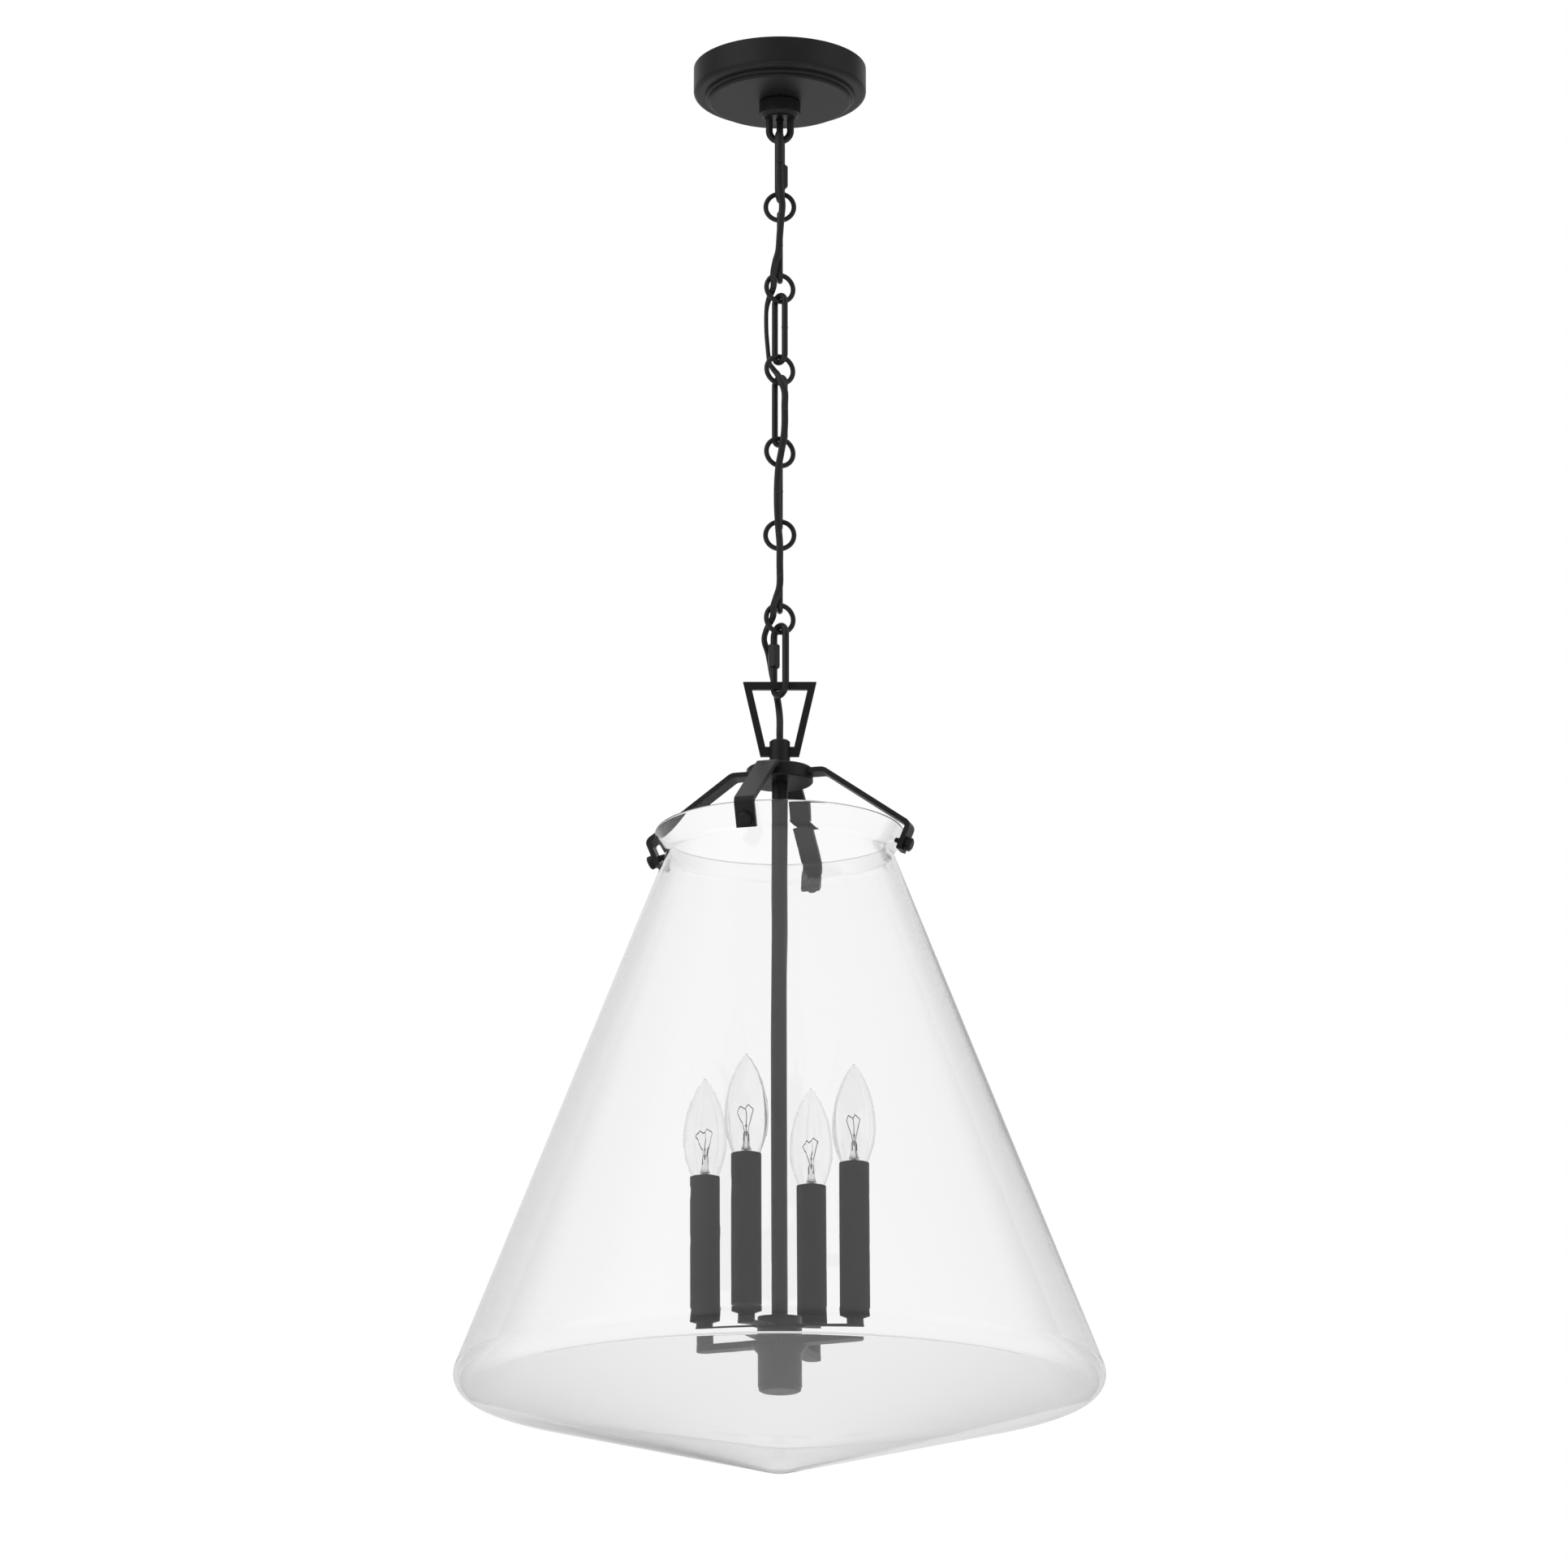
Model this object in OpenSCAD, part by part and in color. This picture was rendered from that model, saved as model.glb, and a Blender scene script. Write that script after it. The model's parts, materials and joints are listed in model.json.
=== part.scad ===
/* [Ceiling canopy] */
// Diameter of the canopy over its drum
canopy_d = 142; // [120:1:180]
// Height of the canopy's drum
canopy_h = 24; // [18:1:34]
// Thickness of the canopy's sheet steel
canopy_wall = 1.2; // [0.8:0.1:2]
// Rounding between the drum and the flat underside
canopy_edge_r = 4; // [2:0.5:6]
// Diameter of the stepped disc pressed out of the underside
step_d = 123; // [60:1:130]
// Height of each of the disc's two steps
step_h = 2.8; // [1.5:0.1:4]
// Distance that the second step stands in from the first
step_in = 3; // [2:0.5:6]

/* [Crossbar and nipple] */
// Length of the mounting crossbar
crossbar_len = 108; // [100:1:115]
// Width of the crossbar
crossbar_w = 19; // [16:1:25]
// Thickness of the crossbar
crossbar_t = 2; // [1.5:0.1:3]
// Distance between the centres of the two ceiling-box slots
slot_spacing = 80; // [70:1:86]
// End-to-end length of each ceiling-box slot
slot_len = 20; // [8:1:22]
// Width of each ceiling-box slot
slot_w = 4.8; // [4:0.1:6]
// Diameter of the threaded nipple
nipple_d = 10; // [9:0.5:12]
// Bore of the nipple, which the cord passes through
nipple_bore = 7.2; // [6.8:0.1:8]
// Size of the hex nuts across their flats
nut_flats = 16; // [14:0.5:18]
// Thickness of each hex nut
nut_h = 3; // [2:0.5:4]

/* [Collar and loop] */
// Diameter of the screw collar under the canopy
collar_d = 34; // [32:0.5:48]
// Height of the screw collar
collar_h = 14; // [10:0.5:20]
// Outside width of the U-shaped loop
loop_w = 23.2; // [20:0.2:26]
// Wire diameter of the loop
loop_wire = 5.8; // [4.5:0.1:6.5]
// Distance from the collar's lower face to the loop's lowest point
loop_drop = 22.5; // [20:0.5:30]

/* [Chain] */
// Outside diameter of a round ring
ring_d = 27; // [25:0.5:36]
// Wire diameter of a round ring
ring_wire = 4; // [3:0.1:4.5]
// Outside length of a long link
link_len = 62.3; // [45:0.1:80]
// Outside width of a long link
link_w = 17; // [15:0.5:18]
// Wire diameter of a long link
link_wire = 5; // [4:0.1:5.5]
// Outside length of a quick link
quick_len = 63.3; // [50:0.1:80]
// Outside width of a quick link
quick_w = 22; // [19:0.2:25]
// Wire diameter of a quick link
quick_wire = 5.6; // [5:0.1:5.8]
// Length of a quick link's threaded sleeve
sleeve_len = 20; // [14:0.5:20]
// Size of a quick link's sleeve across its flats
sleeve_flats = 9; // [8:0.1:9.4]
// Clear gap where two pieces of the chain hang on each other
chain_gap = 0.3; // [0.3:0.05:0.6]

/* [Hanger] */
// Outside width of the hanger's top bar
hanger_top_w = 58.9; // [50:0.1:75]
// Outside width of the hanger's foot
hanger_foot_w = 31; // [26:0.5:40]
// Outside height of the hanger
hanger_h = 62; // [55:0.5:80]
// Width of the hanger's bars
hanger_bar = 6.2; // [5:0.1:8]
// Thickness of the hanger's plate
hanger_t = 4; // [3:0.5:6]
// Extra clearance under the hanger's bar, where the quick link crosses it at an angle
hanger_gap = 1.5; // [1:0.1:3]

/* [Hub and stem] */
// Diameter of the cap over the hub
cap_d = 16.6; // [15.5:0.1:22]
// Height of the cap above the hub disc
cap_h = 23.6; // [20:0.1:32]
// Diameter of the hub disc
disc_d = 53.3; // [40:0.1:66]
// Thickness of the hub disc
disc_h = 11.6; // [9:0.1:16]
// Outside diameter of the stem
stem_d = 12.7; // [11.5:0.1:13.5]
// Bore of the stem
stem_bore = 9.2; // [8.4:0.1:9.6]

/* [Arms] */
// Width of the arms' flat strap
strap_w = 16; // [12:0.5:19]
// Thickness of the arms' flat strap
strap_t = 4; // [3:0.1:5]
// Clear height between the glass rim and the strap above it
rim_gap = 1; // [0.5:0.1:4]
// Distance that an arm's outer corner stands out from the glass rim
arm_reach = 8; // [6.5:0.5:12]
// Lean of an arm's tab from the vertical
tab_lean = 22.5; // [18:0.5:28]
// Length of an arm's tab
tab_len = 25; // [23:0.5:28]
// Distance from the arm's corner to its clamp screw
screw_drop = 15; // [13:0.5:17]
// Turn of the front arm about the lantern's axis
arm_turn = -15; // [-30:1:30]

/* [Clamp screws] */
// Shank diameter of a clamp screw
screw_d = 4.9; // [4:0.1:6]
// Head diameter of a clamp screw
screw_head_d = 11; // [8:0.5:13]
// Head thickness of a clamp screw
screw_head_h = 4; // [3:0.5:6]

/* [Glass shade] */
// Diameter of the neck's rim
rim_d = 199; // [185:1:230]
// Diameter of the neck at its waist
waist_d = 182; // [174:1:190]
// Height from the waist to the rim
neck_h = 18; // [15:0.5:22]
// Diameter of the shade at its widest
shade_d = 508; // [420:1:610]
// Height from the waist to the widest part
shade_h = 421.5; // [360:0.5:520]
// Slope of the shade's bottom
bottom_slope = 14.5; // [5:0.1:20]
// Rounding at the shade's widest part
edge_r = 15; // [8:1:30]
// Thickness of the glass
glass_t = 3; // [2:0.1:4]

/* [Lamp cluster] */
// Height from the shade's widest part up to the candle sleeves' tops
sleeve_rise = 163.5; // [110:0.5:220]
// Distance of each candle from the lantern's axis
candle_r = 63.9; // [48:0.1:70]
// Turn of the first candle about the lantern's axis
candle_turn = -23.6; // [-44:0.1:44]
// Outside diameter of a candle sleeve
candle_d = 23.6; // [22.5:0.1:25]
// Length of a candle sleeve
candle_len = 118.7; // [90:0.1:140]
// Wall of a candle sleeve
candle_wall = 1.2; // [0.8:0.1:1.3]
// Diameter of the posts under the candle sleeves
post_d = 13.2; // [12:0.1:16]
// Height of the posts between the sleeves and the bars
post_h = 14.3; // [10:0.1:22]
// Diameter of the cluster's hub
hub_d = 34.5; // [32:0.1:42]
// Height of the hub above its bars
hub_top_h = 17.3; // [12:0.1:22]
// Height of the hub below its bars
hub_low_h = 32; // [24:0.5:40]
// Width of the cluster's bars
bar_w = 13.5; // [12:0.1:16]
// Thickness of the cluster's bars
bar_t = 5; // [4.5:0.1:7]

/* [Lamps] */
// Diameter of a candle lamp
lamp_d = 34.3; // [28:0.1:36]
// Height of a candle lamp above its sleeve
lamp_h = 80; // [60:1:90]
// Diameter of a lamp's screw base
base_d = 11.9; // [11:0.1:12.5]

/* [Supply cord] */
// Width of the flat twin cord
cord_w = 5.6; // [5:0.1:6]
// Thickness of the flat twin cord
cord_t = 3.6; // [3:0.1:3.8]

/* [Hidden] */

// small working values shared by several pieces
eps = 0.01;         // overlap of cutting shapes past the faces they cut
slide_gap = 0.3;    // clear gap between pieces that pass each other
running_gap = 0.05; // radial gap of a fit that turns or slides
big = 2000;         // half-width of a clipping shape
ring_count = 6;
link_count = 5;

// turn of each chain piece about the vertical: a ring's from face-on, a link's from edge-on
quick_top_turn = -10;
ring_turns = [0, 20, 22, 20, 0, 20];
link_turns = [0, 42, 42, 0, 0];
quick_bottom_turn = 35;

// canopy, collar and loop, from the ceiling plane down
loop_r = (loop_w - loop_wire) / 2;
plug_r = norm([loop_w / 2, loop_wire / 2]) + 0.1;
collar_bore_r = plug_r + slide_gap;
canopy_face_z = -canopy_h - 2 * step_h;
collar_z = canopy_face_z;
plug_rise = 9;      // height of the loop's plug above the collar
plug_top_z = canopy_face_z + plug_rise;
plug_show = 1;      // height of plug that shows under the collar
plug_low_z = collar_z - collar_h - plug_show;
loop_low_z = collar_z - collar_h - loop_drop;
loop_wire_z = loop_low_z + loop_wire / 2;

// the chain hangs in steps: each piece's wire lies over the wire that carries it
ring_r = (ring_d - ring_wire) / 2;
link_r = (link_w - link_wire) / 2;
quick_r = (quick_w - quick_wire) / 2;
link_drop = link_len - link_wire;
quick_drop = quick_len - quick_wire;
link_seat = (ring_wire + link_wire) / 2 + chain_gap;
quick_seat = (ring_wire + quick_wire) / 2 + chain_gap;
quick_top_z = loop_wire_z + (loop_wire + quick_wire) / 2 + chain_gap;
pitch = 2 * ring_r + link_drop - 2 * link_seat;
ring_1_z = quick_top_z - quick_drop + quick_seat - ring_r;
function ring_z(i) = ring_1_z - i * pitch;
function link_top_z(i) = ring_z(i) - ring_r + link_seat;
quick_low_z = ring_z(ring_count - 1) - ring_r + quick_seat;

// hanger, cap and hub
hanger_top_z = quick_low_z - quick_drop + quick_wire / 2 + hanger_gap + hanger_bar;
hanger_foot_z = hanger_top_z - hanger_h;
foot_share = 1.24;   // depth of the foot bar as a share of the top bar
side_share = 0.9;    // width of the side bars as a share of the top bar
foot_bar = hanger_bar * foot_share;
cap_show = 10.5;     // height of the cap that shows under the hanger
cap_low_z = hanger_foot_z - cap_show;
cap_top_z = cap_low_z + cap_h;
disc_low_z = cap_low_z - disc_h;
cap_top_t = 6;       // thickness of the cap over the end of the stem
stem_top_z = cap_top_z - cap_top_t;
arm_depth = 4.4;     // depth of the straps' middle line in the hub disc
arm_root_z = cap_low_z - arm_depth;

// glass shade: its wall's middle line, from the rim round the neck to the bottom
neck_mid_r = 8;
rim_mid_r = rim_d / 2 - glass_t / 2;
waist_mid_r = waist_d / 2 - glass_t / 2 - 0.7;
edge_mid_r = edge_r - glass_t / 2;
edge_c = shade_d / 2 - edge_r;
wall_angle = atan((edge_c - waist_mid_r) / shade_h)
    + asin(edge_mid_r / norm([edge_c - waist_mid_r, shade_h]));

// arms: the strap's middle line clears the rim and turns down outside it
arm_slope = 35.5;
arm_start_r = disc_d / 2 + 11;
strap_corner_r = rim_d / 2 + arm_reach;
strap_corner_z = arm_root_z - (strap_corner_r - arm_start_r) * tan(arm_slope);
strap_rim_z = arm_root_z - (rim_d / 2 - arm_start_r) * tan(arm_slope);
rim_z = strap_rim_z - strap_t / 2 / cos(arm_slope) - rim_gap - glass_t / 4;
waist_z = rim_z - neck_h;
edge_z = waist_z - shade_h;
tab_dir = [-sin(tab_lean), -cos(tab_lean)];
screw_dir = [-cos(tab_lean), sin(tab_lean)];
screw_at = [strap_corner_r, strap_corner_z] + screw_drop * tab_dir;
screw_r = screw_d / 2;

// length from the tab's middle to the flared neck, along the screw
flare_dir = [rim_mid_r - waist_mid_r, rim_z - glass_t / 2 - waist_z];
flare_unit = flare_dir / norm(flare_dir);
flare_norm = [flare_unit[1], -flare_unit[0]];
flare_point = [waist_mid_r, waist_z] + flare_norm * glass_t / 2;
screw_reach = ((flare_point - screw_at) * flare_norm) / (screw_dir * flare_norm);
tip_reach = screw_reach - slide_gap - 0.4;

// cluster and candles
candle_top_z = edge_z + sleeve_rise;
candle_low_z = candle_top_z - candle_len;
cup_h = 4;
bar_top_z = candle_low_z - post_h;
bar_low_z = bar_top_z - bar_t;
hub_top_z = bar_top_z + hub_top_h;
hub_low_z = bar_low_z - hub_low_h;
hub_wall = 3;
hub_cavity_r = hub_d / 2 - hub_wall;
locknut_h = 4;
candle_bore_r = candle_d / 2 - candle_wall;
socket_r = candle_bore_r - 0.4;
neck_in = 2;
lamp_collar = 5;
lamp_wall = 0.7;
socket_top_z = candle_top_z - neck_in - lamp_collar - 1;
socket_h = 42;
shell_r = base_d / 2 + 0.35;
shell_t = 0.5;
lead_r = 1.1;
post_bore_r = 2.6;
lead_z = (bar_top_z + bar_low_z) / 2;
lamp_neck_r = candle_bore_r - 0.9;
base_h = 20;

// the supply cord's route: x, y, z, and the turn of its flat side, along the chain as it is laced
cord_points = [
    [0, 0, -12, 0], [0, 0, -26, 0], [0, 0, -40, 0], [0, 0, -46, 0], [0, -4, -51, 0], [0, -10, -55, 0],
    [0, -14, -62, 0], [0, -15, -74, 0], [0, -15, -90, 0], [0, -14, -104, 0], [1, -12, -115, 0],
    [2, -11, -124, 0], [1, -12, -136, 0], [0, -13, -150, 0], [-1, -13, -164, 0], [-3.4, -12.5, -173, 10],
    [-5.2, -9, -182, 20], [-5.2, -2.4, -191.5, 40], [-9, 4, -200, 65], [-11, 8, -209, 90], [-11, 8, -226, 90],
    [-10, 8, -240, 90], [-9, 7.5, -250, 80], [-8, 4.5, -256, 65], [-5, -2, -263, 40], [-2, -8, -269, 20],
    [1, -11, -276, 0], [4, -12, -286, 0], [4, -13, -298, 0], [4, -13, -314, 0], [3, -12.5, -326, 0],
    [1, -12, -338, 0], [-1, -12, -350, 0], [-2, -12, -366, 0], [-2, -13, -384, 0], [-1, -12, -402, 0],
    [0, -12, -416, 0], [0, -13, -432, 0], [0, -13, -450, 0], [-2.6, -12.4, -460, 0], [-5, -8.6, -467, 20],
    [-5.6, -2.2, -474.2, 40], [-10.4, 4, -482, 60], [-12.5, 10, -490, 60], [-9, 16, -500, 30],
    [-6, 17, -516, 10], [-3, 14, -532, 0], [-1, 8, -546, 0], [0, 3, -558, 0], [0, 0, -570, 0], [0, 0, -584, 0],
    [0, 0, -620, 0], [0, 0, -700, 0], [0, 0, -800, 0], [0, 0, -900, 0], [0, 0, -1000, 0], [0, 0, -1060, 0]
];
cord_sides = 8;
cord_ring_gap = 16;

// ---- shared shapes ----

// wire of a stretched ring in the XZ plane, hung from its top wire's middle at the origin
module oval_wire(half_w, drop, wire) {
    straight = drop - 2 * half_w;
    translate([0, 0, -half_w]) half_torus(half_w, wire, 0);
    translate([0, 0, -half_w - straight]) half_torus(half_w, wire, 180);
    for (side = [-1, 1])
        translate([side * half_w, 0, -half_w - straight])
            cylinder(d = wire, h = straight, $fn = 32);
}

module half_torus(half_w, wire, turn) {
    rotate([0, turn, 0])
        rotate([90, 0, 0])
            rotate_extrude(angle = 180, $fn = 64)
                translate([half_w, 0])
                    circle(d = wire, $fn = 32);
}

module hex_prism(flats, height) {
    cylinder(d = flats / cos(30), h = height, $fn = 6);
}

// points of a bent strip: a middle line with rounded corners, then its two offset sides
function unit(v) = v / norm(v);
function left_of(v) = [-v[1], v[0]];
function bend_arc(a, b, c, r) =
    let (u = unit(b - a), v = unit(c - b), turn = atan2(u[0] * v[1] - u[1] * v[0], u * v),
         side = turn > 0 ? 1 : -1, cut = r * tan(abs(turn) / 2), centre = b - cut * u + side * r * left_of(u),
         steps = max(2, ceil(abs(turn) / 6)))
    [for (i = [0:steps])
        let (n = rotate_2d(u, turn * i / steps)) [centre - side * r * left_of(n), left_of(n)]];
function rotate_2d(v, a) = [v[0] * cos(a) - v[1] * sin(a), v[0] * sin(a) + v[1] * cos(a)];
function mid_line(path, radii) =
    let (last = len(path) - 1)
    concat(
        [[path[0], left_of(unit(path[1] - path[0]))]],
        [for (i = [1:last - 1]) each bend_arc(path[i - 1], path[i], path[i + 1], radii[i])],
        [[path[last], left_of(unit(path[last] - path[last - 1]))]]);
function strip_points(line, half) =
    concat(
        [for (p = line) p[0] + half * p[1]],
        [for (i = [len(line) - 1:-1:0]) line[i][0] - half * line[i][1]]);

module strip(path, radii, thickness) {
    polygon(strip_points(mid_line(path, radii), thickness / 2));
}

// places its children in the arm's own plane, where X is outwards and Z is up
module in_arm_plane(turn) {
    rotate([0, 0, turn - 90])
        rotate([90, 0, 0])
            children();
}

// puts the Z axis of its children along the clamp screw, pointing inwards from the tab's middle
module along_screw(turn) {
    rotate([0, 0, turn - 90])
        translate([screw_at[0], 0, screw_at[1]])
            rotate([0, -90 + tab_lean, 0])
                children();
}

module at_candle(i) {
    rotate([0, 0, candle_turn + 90 * i])
        translate([0, -candle_r, 0])
            children();
}

// ---- ceiling fitting ----

module crossbar() {
    flat = crossbar_len - crossbar_w;
    color("silver")
        difference() {
            union() {
                translate([-flat / 2, -crossbar_w / 2, -crossbar_t])
                    cube([flat, crossbar_w, crossbar_t]);
                for (side = [-1, 1])
                    translate([side * flat / 2, 0, -crossbar_t])
                        cylinder(d = crossbar_w, h = crossbar_t, $fn = 48);
            }
            crossbar_holes();
        }
}

ground_x = 22;
ground_d = 4;
module crossbar_holes() {
    translate([0, 0, -crossbar_t - eps])
        cylinder(d = nipple_d, h = crossbar_t + 2 * eps, $fn = 48);
    translate([ground_x, 0, -crossbar_t - eps])
        cylinder(d = ground_d, h = crossbar_t + 2 * eps, $fn = 32);
    for (side = [-1, 1])
        translate([side * slot_spacing / 2, 0, -crossbar_t - eps]) {
            for (end = [-1, 1])
                translate([end * (slot_len - slot_w) / 2, 0, 0])
                    cylinder(d = slot_w, h = crossbar_t + 2 * eps, $fn = 32);
            translate([-(slot_len - slot_w) / 2, -slot_w / 2, 0])
                cube([slot_len - slot_w, slot_w, crossbar_t + 2 * eps]);
        }
}

nipple_in = 8;   // depth of the nipple in the plug
nipple_out = 4;  // height of the nipple above the crossbar
nipple_low_z = plug_top_z - nipple_in;
module nipple() {
    color("goldenrod")
        translate([0, 0, nipple_low_z])
            difference() {
                cylinder(d = nipple_d, h = nipple_out - nipple_low_z, $fn = 48);
                translate([0, 0, -eps])
                    cylinder(d = nipple_bore, h = nipple_out - nipple_low_z + 2 * eps, $fn = 48);
            }
}

module nipple_nuts() {
    color("silver")
        for (z = [-crossbar_t - nut_h, plug_top_z])
            translate([0, 0, z])
                difference() {
                    hex_prism(nut_flats, nut_h);
                    translate([0, 0, -eps])
                        cylinder(d = nipple_d, h = nut_h + 2 * eps, $fn = 48);
                }
}

module ground_screw() {
    color("green")
        translate([ground_x, 0, 0]) {
            translate([0, 0, -crossbar_t])
                cylinder(d = ground_d, h = crossbar_t, $fn = 32);
            translate([0, 0, -crossbar_t - 2.4])
                difference() {
                    cylinder(d = 9, h = 2.4, $fn = 32);
                    translate([-5, -0.6, -eps])
                        cube([10, 1.2, 1]);
                }
        }
}

module splice_cap(length, wide, narrow) {
    cylinder(d1 = wide, d2 = narrow, h = length, $fn = 32);
}

module canopy_splices() {
    color("orange")
        for (side = [-1, 1])
            translate([-14, side * 18, -canopy_h / 2 + 1])
                rotate([0, -90, 0])
                    splice_cap(20, 11, 7);
}

canopy_hole_r = collar_bore_r + 1;
module canopy() {
    r = canopy_d / 2;
    t = canopy_wall;
    e = canopy_edge_r;
    s = step_d / 2;
    color("#1c1c1c")
        rotate_extrude($fn = 128)
            difference() {
                canopy_outline(r, e, s, 0);
                canopy_outline(r - t, e - t, s - t, t);
                translate([-1, -big])
                    square([canopy_hole_r + 1, 2 * big]);
            }
}

// half-section of the canopy's outside, or of its inside when lifted by its wall
module canopy_outline(r, e, s, lift) {
    round_r = step_h * 0.7;
    difference() {
        union() {
            translate([0, -canopy_h + lift + e])
                square([r, canopy_h - lift - e + (lift > 0 ? 1 : 0)]);
            translate([0, -canopy_h + lift])
                square([r - e, e + eps]);
            translate([r - e, -canopy_h + lift + e])
                circle(r = e, $fn = 48);
            for (i = [0, 1])
                step_outline(s - i * step_in, -canopy_h - (i + 1) * step_h + lift, round_r);
        }
        translate([-big, -big])
            square([big, 2 * big]);
    }
}

module step_outline(s, z, round_r) {
    translate([0, z])
        square([s - round_r, step_h + 1]);
    translate([0, z + round_r])
        square([s, step_h + 1 - round_r]);
    translate([s - round_r, z + round_r])
        circle(r = round_r, $fn = 32);
}

module screw_collar() {
    lip_h = 3;
    color("#1c1c1c")
        translate([0, 0, collar_z - collar_h])
            difference() {
                union() {
                    translate([0, 0, lip_h])
                        cylinder(d = collar_d, h = collar_h - lip_h - 1, $fn = 96);
                    translate([0, 0, collar_h - 1])
                        cylinder(d1 = collar_d, d2 = collar_d - 2, h = 1, $fn = 96);
                    cylinder(d1 = collar_d - 7, d2 = collar_d - 3, h = lip_h, $fn = 96);
                }
                translate([0, 0, -eps])
                    cylinder(r = collar_bore_r, h = collar_h + 2 * eps, $fn = 96);
            }
}

loop_shank = plug_low_z - loop_wire_z - loop_r;
module canopy_loop() {
    color("#1c1c1c") {
        difference() {
            translate([0, 0, plug_low_z])
                cylinder(r = plug_r, h = plug_top_z - plug_low_z, $fn = 96);
            translate([0, 0, nipple_low_z])
                cylinder(d = nipple_d, h = 50, $fn = 48);
            translate([0, 0, plug_low_z - eps])
                cylinder(d = nipple_bore, h = 50, $fn = 48);
        }
        translate([0, 0, loop_wire_z + loop_r])
            half_torus(loop_r, loop_wire, 180);
        for (side = [-1, 1])
            translate([side * loop_r, 0, loop_wire_z + loop_r])
                cylinder(d = loop_wire, h = loop_shank, $fn = 32);
    }
}

// ---- chain ----

module ring(i) {
    color("#1a1a1a")
        translate([0, 0, ring_z(i)])
            rotate([90, 0, ring_turns[i]])
                rotate_extrude($fn = 96)
                    translate([ring_r, 0])
                        circle(d = ring_wire, $fn = 32);
}

module link(i) {
    color("#1a1a1a")
        translate([0, 0, link_top_z(i)])
            rotate([0, 0, link_turns[i] - 90])
                oval_wire(link_r, link_drop, link_wire);
}

// a quick link's far leg is open in its middle, and its threaded sleeve closes that opening
module quick_link(z, turn) {
    open = 7;
    color("#1a1a1a")
        translate([0, 0, z])
            rotate([0, 0, turn - 90])
                difference() {
                    oval_wire(quick_r, quick_drop, quick_wire);
                    translate([-quick_r - quick_wire, -quick_wire, -quick_drop / 2 - open / 2])
                        cube([2 * quick_wire, 2 * quick_wire, open]);
                }
}

// side is 1 where the sleeve reaches up from the opening, and -1 where it reaches down
module quick_sleeve(z, turn, side) {
    chamfer = 1.5;
    past_middle = 4.5;
    wide = sleeve_flats / cos(30);
    middle_z = -quick_drop / 2 + side * (sleeve_len / 2 - past_middle);
    color("#1a1a1a")
        translate([0, 0, z])
            rotate([0, 0, turn - 90])
                translate([-quick_r, 0, middle_z - sleeve_len / 2])
                    difference() {
                        intersection() {
                            rotate([0, 0, 30])
                                hex_prism(sleeve_flats, sleeve_len);
                            union() {
                                cylinder(d1 = wide - 2 * chamfer, d2 = wide, h = chamfer, $fn = 48);
                                translate([0, 0, chamfer])
                                    cylinder(d = wide, h = sleeve_len - 2 * chamfer, $fn = 48);
                                translate([0, 0, sleeve_len - chamfer])
                                    cylinder(d1 = wide, d2 = wide - 2 * chamfer, h = chamfer, $fn = 48);
                            }
                        }
                        translate([0, 0, -eps])
                            cylinder(d = quick_wire + 2 * running_gap, h = sleeve_len + 2 * eps, $fn = 48);
                    }
}

// ---- hanger, hub and arms ----

module hanger() {
    top = hanger_top_w / 2;
    foot = hanger_foot_w / 2;
    side_lean = (top - foot) / hanger_h;
    side_w = hanger_bar * side_share * norm([1, side_lean]);
    in_top = top - side_lean * hanger_bar - side_w;
    in_foot = foot + side_lean * foot_bar - side_w;
    color("#1c1c1c")
        difference() {
            translate([0, hanger_t / 2, hanger_top_z])
                rotate([90, 0, 0])
                    linear_extrude(hanger_t)
                        difference() {
                            polygon([[-top, 0], [top, 0], [foot, -hanger_h], [-foot, -hanger_h]]);
                            polygon([[-in_top, -hanger_bar], [in_top, -hanger_bar],
                                [in_foot, foot_bar - hanger_h], [-in_foot, foot_bar - hanger_h]]);
                        }
            translate([0, 0, hanger_foot_z - 1])
                cylinder(d = cap_d, h = foot_bar + 2, $fn = 64);
        }
}

module hub_cap() {
    edge = 1.2;
    color("#1c1c1c")
        difference() {
            union() {
                translate([0, 0, cap_low_z])
                    cylinder(d = cap_d, h = cap_h - edge, $fn = 64);
                translate([0, 0, cap_top_z - edge])
                    cylinder(d1 = cap_d, d2 = cap_d - 2 * edge, h = edge, $fn = 64);
            }
            translate([0, 0, cap_low_z - eps])
                cylinder(d = stem_d, h = stem_top_z - cap_low_z + eps, $fn = 64);
            translate([0, 0, stem_top_z - eps])
                cylinder(r = bushing_r, h = cap_top_z - stem_top_z + 2 * eps, $fn = 48);
        }
}

bushing_r = cord_w / 2 + 1.6;
module cord_bushing() {
    color("#101010")
        translate([0, 0, stem_top_z])
            difference() {
                union() {
                    cylinder(r = bushing_r, h = cap_top_z - stem_top_z, $fn = 48);
                    translate([0, 0, cap_top_z - stem_top_z])
                        cylinder(r1 = bushing_r, r2 = bushing_r - 0.6, h = 0.8, $fn = 48);
                }
                translate([0, 0, -eps])
                    cylinder(r = cord_w / 2 + slide_gap, h = cap_top_z - stem_top_z + 1, $fn = 48);
            }
}

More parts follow.
